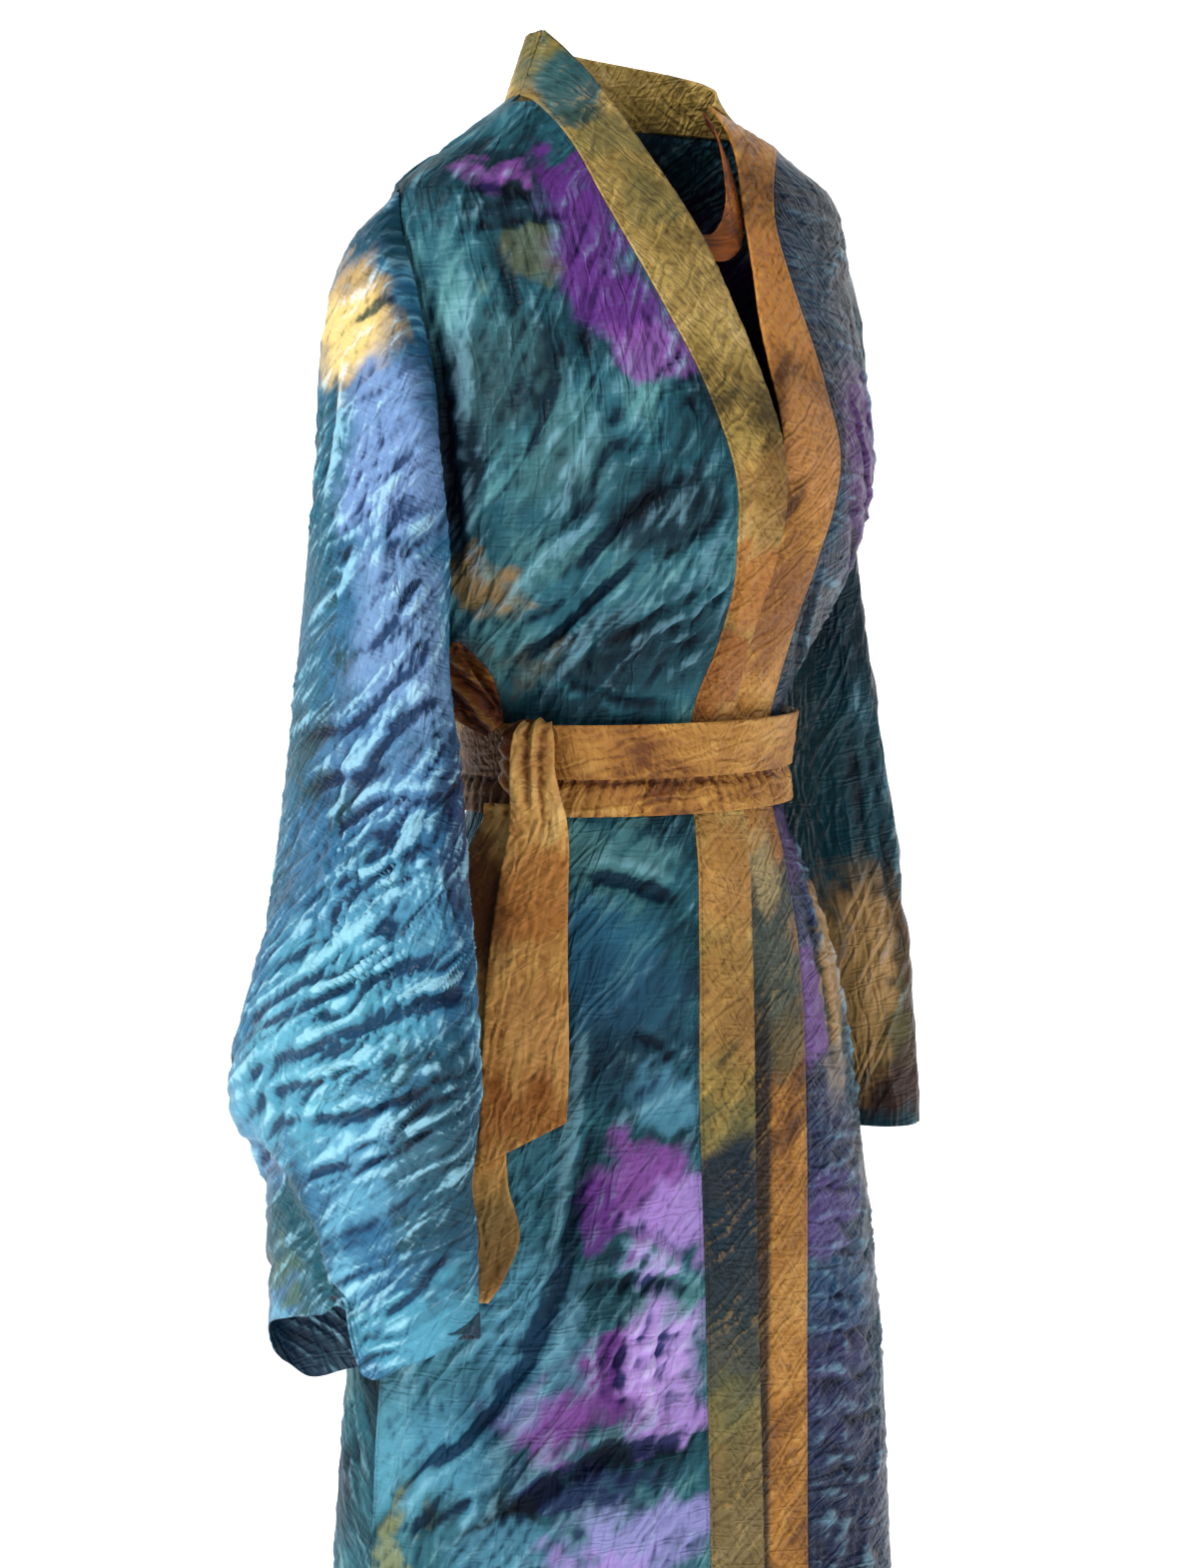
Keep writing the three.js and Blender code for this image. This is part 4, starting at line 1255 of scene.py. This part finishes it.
def pleats(s, t):
    """Upright pleats that the knot presses into an end of the belt, fading down it."""
    fade = 0.06 + 0.94 * smooth(t, -490, -430)
    return 1.4 * fade * np.cos(2 * np.pi * (s / 13 + 0.6 * noise(s / 20, t / 60, 94)))


band_r = dress_band("band_right", front_band(-1, band_right, BAND_LAP, 24, 420), 71, 0.35, "l")
band_l = dress_band("band_left", front_band(1, band_left, 0, 24, 420), 73, 0.35, "r")
band_n = dress_band("band_neck", neck_band(96, 24), 75, 0.35, "lrb")
throat = dress_band("throat_strip", throat_strip(12, 64), 77, 0.3, wall=1.2)
low_turn = belt_turn(BELT.middle, BELT.bottom, BELT.under, 300, 18)
under = dress_band("belt_under_turn", low_turn, 79, 0.3, wrap=True, shape=puckers, low=-2, high=1.5)
high_turn = belt_turn(BELT.top, BELT.middle - 6, BELT.over, 300, 18)
over = dress_band("belt_over_turn", high_turn, 81, 0.35, lean=8, wrap=True)
front_end = tail(TAIL_FRONT, TAIL_SLANT, 30, 190)
tail_f = dress_band("belt_tail_front", front_end, 83, 0.5, lean=70, shape=pleats, low=-2.2, high=2.0)
rear_end = tail(TAIL_REAR, 0, 18, 110)
tail_b = dress_band("belt_tail_rear", rear_end, 85, 0.5, lean=80, shape=pleats, low=-1.8, high=1.8)
loop = dress_band("belt_loop", bow_loop(26, 84), 87, 0.6, lean=84, shape=pleats, low=-1.8, high=1.8)


def knot_points():
    """A tight knot: a flattened ball with a waist, wrapped by the folds of the cloth that crosses it."""
    columns, rows = 72, 40
    u, v = np.meshgrid(np.arange(columns) / columns, np.linspace(0.02, 0.98, rows))
    turn, climb = 2 * np.pi * u, np.pi * (v - 0.5)
    x, z, y = np.cos(climb) * np.cos(turn), np.cos(climb) * np.sin(turn), np.sin(climb)
    wraps = 1 + 0.07 * np.cos(5 * np.pi * (y + 0.35 * x) + 1.2 * noise(3 * x + 9, 3 * y, 93))
    pinch = 1 - 0.16 * np.exp(-((y / 0.35) ** 2))
    middle = body_point(KNOT.angle, BELT.middle, KNOT.off)
    middle[2] = KNOT.z
    out, along = directions_at(KNOT.angle, BELT.middle)
    wide, deep = KNOT.wide * x * pinch * wraps, KNOT.deep * z * wraps
    points = middle + along * wide[..., None] + out * deep[..., None]
    points[..., 2] += KNOT.tall * y
    return points


knot = build("belt_knot", surface(knot_points(), wrap=True), wall=1.6, wrap=True)

# Dyed patches of the right front. The pale sea-blue ones low on the skirt (84 150 170) are painted light,
# lifting the lower skirt where the key light falls off.
FRONT_RIGHT_DYE_AND_LIGHT = dye_and_shade_patches(spot, """
-52 -45 | 46 40 18 | ink 0.7
-46 -72 | 30 30 22 | ink 0.85
-56 -52 | 26 26 12 | orchid 0.7
-30 -48 | 34 30 22 | purple 0.9
-24 -78 | 34 30 30 | purple 0.9
-26 -126 | 40 30 42 | purple 0.95
-20 -160 | 30 26 26 | orchid 0.8
-42 -110 | 26 26 20 | olive 0.55
-76 -220 | 22 34 90 | ink 0.85
-64 -170 | 22 30 50 | sea 0.25
-30 -215 | 50 34 40 | teal 0.4
-46 -222 | 50 36 36 | sea 0.4
-22 -262 | 40 30 30 | ink 0.75
-50 -270 | 36 34 34 | petrol 0.5
-66 -312 | 28 30 26 | 166 128 70 0.85
-62 -356 | 28 30 22 | 98 78 50 0.6
-36 -345 | 50 34 22 | ink 0.85
-44 -385 | 44 30 14 | ink 0.7
-16 -345 | 34 30 38 | petrol 0.7
-36 -550 | 44 34 56 | blue 0.5
-34 -484 | 40 30 13 | sea 0.6
-28 -600 | 46 34 60 | 34 66 92 0.5
-20 -640 | 26 30 26 | sky 0.55
-62 -650 | 40 50 130 | 84 148 168 0.5
-30 -610 | 40 30 24 | ink 0.5
-24 -705 | 44 34 30 | orchid 0.9
-33 -718 | 20 24 20 | purple 0.8
-16 -728 | 34 26 24 | lavender 0.75
-26 -756 | 52 34 9 | petrol 0.9
-26 -805 | 46 34 34 | orchid 0.95
-18 -802 | 42 28 42 | 202 168 244 0.9
-30 -806 | 12 24 30 | purple 0.75
-40 -780 | 14 30 40 | 96 150 176 0.5
-44 -838 | 38 30 24 | orchid 0.85
-18 -846 | 34 30 14 | lavender 0.75
-34 -880 | 56 36 20 | navy 0.9
-52 -898 | 40 36 18 | ink 0.85
-76 -868 | 44 60 46 | 88 158 180 0.85
-50 -930 | 40 40 24 | sky 0.45
-20 -925 | 60 36 34 | 160 158 222 0.9
-30 -942 | 44 30 18 | lavender 0.6
-66 -840 | 60 50 60 | blue 0.35
-86 -760 | 40 60 110 | 84 150 170 0.75
-66 -740 | 40 50 90 | 84 150 170 0.75
-50 -800 | 24 30 60 | sky 0.5
-84 -935 | 9 30 24 | 150 156 104 0.6
-50 -985 | 34 40 30 | sky 0.6
-34 -992 | 24 30 16 | lavender 0.6
-60 -1040 | 70 50 60 | blue 0.5
-30 -1090 | 60 40 50 | orchid 0.7
-70 -1180 | 60 50 50 | purple 0.55
""")
FRONT_LEFT_DYE = dye_and_shade_patches(spot, """
60 -90 | 60 40 50 | ink 0.7
44 -230 | 50 40 70 | 84 34 108 0.92
70 -240 | 34 40 60 | 20 30 56 0.6
36 -350 | 50 40 40 | ink 0.8
28 -490 | 50 40 34 | 66 38 96 0.9
30 -540 | 50 40 24 | navy 0.85
24 -596 | 44 40 36 | 116 74 146 0.85
52 -550 | 18 24 30 | 178 140 86 0.9
46 -600 | 24 24 40 | 178 140 86 0.9
38 -645 | 22 22 24 | 150 134 112 0.7
30 -680 | 60 40 40 | navy 0.7
26 -730 | 60 40 26 | 92 72 140 0.7
30 -790 | 60 40 40 | 40 76 118 0.6
26 -850 | 60 40 50 | 60 50 104 0.5
30 -930 | 70 50 60 | 20 34 70 0.85
70 -640 | 50 60 90 | petrol 0.6
60 -1060 | 80 60 70 | purple 0.5
36 -1180 | 60 50 50 | teal 0.6
""")
BACK_DYE = dye_and_shade_patches(spot, """
150 -110 | 70 50 60 | purple 0.8
215 -170 | 60 50 70 | teal 0.6
180 -250 | 70 50 60 | blue 0.6
130 -300 | 50 50 50 | orchid 0.6
226 -330 | 50 50 40 | gold 0.45
170 -540 | 70 60 60 | purple 0.7
220 -640 | 70 60 80 | sky 0.4
140 -700 | 70 60 70 | teal 0.6
190 -790 | 80 60 60 | orchid 0.65
120 -880 | 60 60 60 | blue 0.6
232 -900 | 60 60 70 | navy 0.7
170 -1000 | 90 60 60 | periwinkle 0.5
140 -1140 | 80 60 60 | purple 0.6
220 -1180 | 80 60 60 | teal 0.6
""")
SLEEVE_RIGHT_DYE = dye_and_shade_patches(on_sleeve_right, """
0.02 0.96 | 60 60 26 | petrol 0.8
0.01 0.84 | 34 46 48 | 196 158 84 0.85
0.0 0.83 | 22 40 38 | 240 208 132 0.85
0.1 0.78 | 44 40 60 | 122 154 204 0.8
0.14 0.7 | 44 40 60 | 126 160 204 0.7
-0.06 0.74 | 40 34 90 | 28 92 112 0.85
-0.08 0.64 | 30 40 60 | 30 96 118 0.7
0.08 0.62 | 50 50 50 | periwinkle 0.45
0.28 0.66 | 30 30 80 | navy 0.8
0.04 0.36 | 60 80 60 | cyan 0.6
-0.04 0.26 | 50 80 36 | cyan 0.6
0.1 0.5 | 40 60 40 | 96 168 196 0.4
0.1 0.22 | 50 60 40 | sky 0.6
0.24 0.3 | 40 40 100 | petrol 0.75
-0.08 0.15 | 36 70 36 | 12 78 92 0.97
-0.02 0.1 | 26 60 30 | 14 80 94 0.97
-0.1 0.1 | 16 50 22 | 70 104 84 0.6
0.14 0.08 | 60 50 26 | cyan 0.6
0.6 0.4 | 60 60 80 | purple 0.5
0.8 0.6 | 60 60 70 | teal 0.6
0.75 0.3 | 60 60 60 | sky 0.5
""")
SLEEVE_LEFT_DYE = dye_and_shade_patches(on_sleeve_left, """
0.3 0.75 | 50 60 90 | ink 0.75
0.3 0.5 | 50 60 70 | petrol 0.8
0.22 0.24 | 50 60 44 | 92 70 44 0.92
0.28 0.1 | 60 70 46 | 72 48 38 0.92
0.3 0.16 | 16 30 30 | olive 0.6
0.4 0.26 | 18 60 96 | 200 158 100 0.95
0.8 0.4 | 50 60 80 | blue 0.6
0.7 0.7 | 50 60 60 | purple 0.5
""")

BAND_RIGHT_DYE = dye_and_shade_patches(at_point, """
-78 -20 22 | 40 50 16 | olive 0.8
-66 -28 6 | 26 40 24 | 40 92 100 0.9
-45 -50 -30 | 30 40 20 | olive 0.7
-30 -70 -70 | 24 40 20 | olive 0.5
-58 -40 -8 | 22 30 12 | 40 66 56 0.7
""") + dye_and_shade_patches(on_band(band_right), """
-250 | 24 40 30 | 166 116 60 0.5
-315 | 34 40 36 | 178 112 50 0.85
-375 | 34 40 32 | 150 86 34 0.9
-500 | 34 40 50 | 178 126 64 0.85
-580 | 34 40 40 | 168 122 62 0.7
-660 | 30 40 20 | olive 0.7
-705 | 40 50 44 | 14 38 54 0.97
-760 | 40 50 46 | 18 44 58 0.97
-812 | 40 50 36 | 40 58 62 0.92
-850 | 34 40 24 | olive 0.7
-920 | 40 50 60 | 96 84 56 0.75
-1040 | 34 40 60 | petrol 0.7
""")
# Dyed patches of the left band. The rust one at its top by the neck is painted shade on the band's inner
# side.
BAND_LEFT_DYE_AND_SHADE = dye_and_shade_patches(at_point, """
84 58 -34 | 40 44 34 | 112 60 24 0.9
""") + dye_and_shade_patches(on_band(band_left), """
-130 | 50 50 60 | 206 136 62 0.85
-225 | 40 40 40 | 206 142 78 0.8
-330 | 40 40 50 | 136 84 36 0.75
-520 | 40 40 34 | 38 66 70 0.92
-570 | 40 40 34 | 60 82 76 0.92
-612 | 40 40 22 | 84 84 58 0.8
-500 | 14 30 36 | cream 0.5
-760 | 34 40 50 | gold 0.5
-1080 | 34 40 60 | petrol 0.7
""")
# Dyed patches of the belt's ends. The dark brown one at -81 is painted shade on the rear end, between the
# sleeve and the front end.
TAIL_DYE_AND_SHADE = dye_and_shade_patches(spot, """
-60 -424 | 40 70 30 | 166 106 52 0.7
-58 -510 | 60 60 30 | 196 118 52 0.7
-58 -645 | 60 60 22 | rust 0.6
-60 -730 | 60 60 40 | 128 100 58 0.8
-81 -540 | 24 40 90 | 74 36 16 0.92
-54 -600 | 24 40 40 | 226 166 96 0.6
""")
# A dark brown patch on the belt to the left of the knot: painted shade.
BELT_SHADE = dye_and_shade_patches(spot, """
-86 -430 | 34 36 60 | 84 44 22 0.85
""")
# A dark rust patch at the top of the throat strip: painted shade at the neck.
THROAT_SHADE = dye_and_shade_patches(at_point, """
66 0 -10 | 24 40 44 | 84 32 14 0.9
""")
# Dark rust and brown patches on the knot and bow loop: painted shade where they sit in shadow beside the
# sleeve.
KNOT_SHADE = dye_and_shade_patches(spot, """
-78 -375 | 40 60 50 | 90 42 14 0.85
-68 -425 | 14 40 30 | 56 24 14 0.8
""")

GOLD_WEAVE = dict(gloss=0.46, shine=0.2, crest_highlight_share=0.6, bite=1.7, spread=0.02)
GOLD_WEAVE.update(crush=0.95, long=0.02, wide=0.0085, turn=78)


def dyed(name, patches, lean, tones="ink | petrol | teal | sea", **more):
    return silk("dyed_silk_" + name, shades(tones), patches, lean, VALLEY_SHADE, CREST_HIGHLIGHT, **more)


def golden(name, patches, lean, tones, **more):
    weave = {**GOLD_WEAVE, **more}
    return silk("gold_silk_" + name, shades(tones), patches, lean, GOLD_VALLEY_SHADE, GOLD_CREST_HIGHLIGHT, **weave)


# Darker ground tones for the left front: painted shade for the side of the robe turned away from the key
# light.
FAR_SHADED_TONES = "8 16 26 | 18 30 50 | 26 54 78 | 32 68 84"
OLIVE_TONES = "88 74 38 | 154 128 66 | 186 156 88 | 214 186 124"
DEEP_GOLD = "92 54 18 | 150 98 38 | 184 126 52 | 206 152 80"
PALE_GOLD = "166 104 48 | 216 154 80 | 230 176 98 | 238 194 122"
BELT_GOLD = "112 66 30 | 166 112 52 | 192 138 66 | 210 162 94"
FRONT_RIGHT_LOOK = dict(wrong=0.6, shine=0.12, crest_highlight_share=0.42, gloss=0.52)
FRONT_LEFT_LOOK = dict(crest_highlight_share=0.5, wrong=0.6, shine=0.14, spread=0.02)
SLEEVE_RIGHT_LOOK = dict(crest_highlight_share=1.0, bite=2.0, wrong=0.85, shine=0.2, gloss=0.44)
SLEEVE_LEFT_LOOK = dict(wrong=0.7, spread=0.015, shine=0.25)
SLEEVE_TONES = "petrol | blue | blue | sky"
LOOKS = {
    "front_right": dyed("front_right", FRONT_RIGHT_DYE_AND_LIGHT, 52, **FRONT_RIGHT_LOOK),
    "front_left": dyed("front_left", FRONT_LEFT_DYE, -8, FAR_SHADED_TONES, **FRONT_LEFT_LOOK),
    "back": dyed("back", BACK_DYE, -58, wrong=0.6, shine=0.15, gloss=0.5),
    "sleeve_right": dyed("sleeve_right", SLEEVE_RIGHT_DYE, 33, SLEEVE_TONES, **SLEEVE_RIGHT_LOOK),
    "sleeve_left": dyed("sleeve_left", SLEEVE_LEFT_DYE, 64, "ink | petrol | teal", **SLEEVE_LEFT_LOOK),
    "band_right": golden("band_right", BAND_RIGHT_DYE, 40, OLIVE_TONES),
    "band_left": golden("band_left", BAND_LEFT_DYE_AND_SHADE, 40, DEEP_GOLD, beside_lap=True),
    "belt": golden("belt", BELT_SHADE, 10, BELT_GOLD, crush=0.7),
    "tails": golden("tails", TAIL_DYE_AND_SHADE, 80, PALE_GOLD, crush=0.5),
    # The knot and bow loop take dark rust and brown tones. These are partly the belt's rust dye and partly
    # painted shade from the shadow beside the sleeve.
    "knot": golden("knot", KNOT_SHADE, 60, "60 26 10 | brown | rust | ochre"),
    # Rust and brown tones for the throat strip: gold silk painted darker with the warm shade inside the neck.
    "throat": golden("throat", THROAT_SHADE, 60, "brown | rust | rust | ochre"),
}

# Each piece: its look, the flat size of its cloth in metres, how it is held, what it rests on, and its flat
# area where it isn't a rectangle. A piece stands for the CAD node of its own name.
DYED = (
    (back, "back", (0.54, 1.28), "hung", "", 0.62),
    (front_right, "front_right", (0.28, 1.30), "hung", "back", 0.29),
    (front_left, "front_left", (0.26, 1.27), "hung", "back", 0.25),
    (sleeve_right, "sleeve_right", (0.52, 0.76), "hung", "front_right back", 0.30),
    (sleeve_left, "sleeve_left", (0.42, 0.62), "hung", "front_left back", 0.20),
)
GOLDEN = (
    (band_r, "band_right", (0.045, 1.33), "hung", "front_right", None),
    (band_l, "band_left", (0.055, 1.31), "hung", "front_left", None),
    (band_n, "band_right", (0.045, 0.25), "folded", "back", None),
    (throat, "throat", (0.02, 0.16), "hung", "band_left band_right", None),
    (under, "belt", (0.03, 0.66), "stretched", "front_right front_left back", None),
    (over, "belt", (0.035, 0.69), "stretched", "belt_under_turn", None),
    (knot, "knot", (0.06, 0.08), "folded", "belt_over_turn", None),
    (loop, "knot", (0.045, 0.13), "folded", "belt_knot", None),
    (tail_f, "tails", (0.056, 0.27), "hung", "belt_knot", 0.012),
    (tail_b, "tails", (0.04, 0.32), "hung", "belt_knot", 0.0107),
)
for slot, pieces in (("dyed_silk", DYED), ("gold_silk", GOLDEN)):
    for piece, look, flat, held, rests_on, area in pieces:
        piece.data.materials.append(LOOKS[look])
        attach(piece, "root")
        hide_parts(piece.name.removesuffix("_cloth"))

# ---- Floor, light and camera ----

FLOOR, CURVE_STEPS = -1.36, 24
AZIMUTH, ELEVATION, DISTANCE, LENS = -38.0, 5.6, 2.5, 86.0
TARGET = Vector((-0.0138, 0.0108, -0.45))


def sweep():
    """A pale floor that curves up into a wall behind."""
    profile = [(-7.0, FLOOR)]
    for k in range(CURVE_STEPS + 1):
        turn = math.radians(90 * k / CURVE_STEPS)
        profile.append((3.2 + 1.2 * math.sin(turn), FLOOR + 1.2 * (1 - math.cos(turn))))
    profile.append((4.4, 7.0))
    verts = [(side, y, z) for side in (-9.0, 9.0) for y, z in profile]
    n = len(profile)
    faces = [(i, n + i, n + i + 1, i + 1) for i in range(n - 1)]
    mesh = bpy.data.meshes.new("floor")
    mesh.from_pydata(verts, [], faces)
    mesh.polygons.foreach_set("use_smooth", [True] * len(faces))
    stage = bpy.data.objects.new("floor", mesh)
    stage.rotation_euler = (0, 0, math.radians(AZIMUTH))
    bpy.context.scene.collection.objects.link(stage)
    look = Look("pale_floor")
    grain = look.noise(look.add("ShaderNodeTexCoord").outputs["Object"], 3.0)
    tone = look.mix(grain.outputs["Fac"], (0.86, 0.86, 0.86, 1), (0.9, 0.9, 0.9, 1))
    lit = {"Emission Color": (1, 1, 1, 1), "Emission Strength": 0.8}
    mesh.materials.append(look.done({"Base Color": tone, "Roughness": 0.9, **lit}))


def lamp(name, place, aim, size, power):
    light = bpy.data.lights.new(name, "AREA")
    light.shape, light.size, light.energy = "DISK", size, power
    holder = bpy.data.objects.new(name, light)
    holder.location = place
    holder.rotation_euler = (Vector(aim) - Vector(place)).to_track_quat("-Z", "Y").to_euler()
    bpy.context.scene.collection.objects.link(holder)


sweep()
a, e = math.radians(AZIMUTH), math.radians(ELEVATION)
back_way = Vector((math.sin(a) * math.cos(e), -math.cos(a) * math.cos(e), math.sin(e)))
camera = bpy.data.cameras.new("camera")
camera.sensor_fit = "VERTICAL"
camera.sensor_height = 36.0
camera.lens = LENS
viewer = bpy.data.objects.new("camera", camera)
viewer.location = TARGET + back_way * DISTANCE
viewer.rotation_euler = (-back_way).to_track_quat("-Z", "Y").to_euler()
bpy.context.scene.collection.objects.link(viewer)
bpy.context.scene.camera = viewer

lamp("key", (-2.5, -0.1, 1.4), (0, 0, -0.5), 0.8, 78)
lamp("fill", (0.0, -2.8, 0.7), (0, 0, -0.5), 1.6, 14)
world = bpy.data.worlds.new("studio")
world.use_nodes = True
sky = world.node_tree.nodes["Background"].inputs
sky["Color"].default_value, sky["Strength"].default_value = (1, 1, 1, 1), 0.22
bpy.context.scene.world = world
bpy.context.scene.view_settings.view_transform = "Standard"
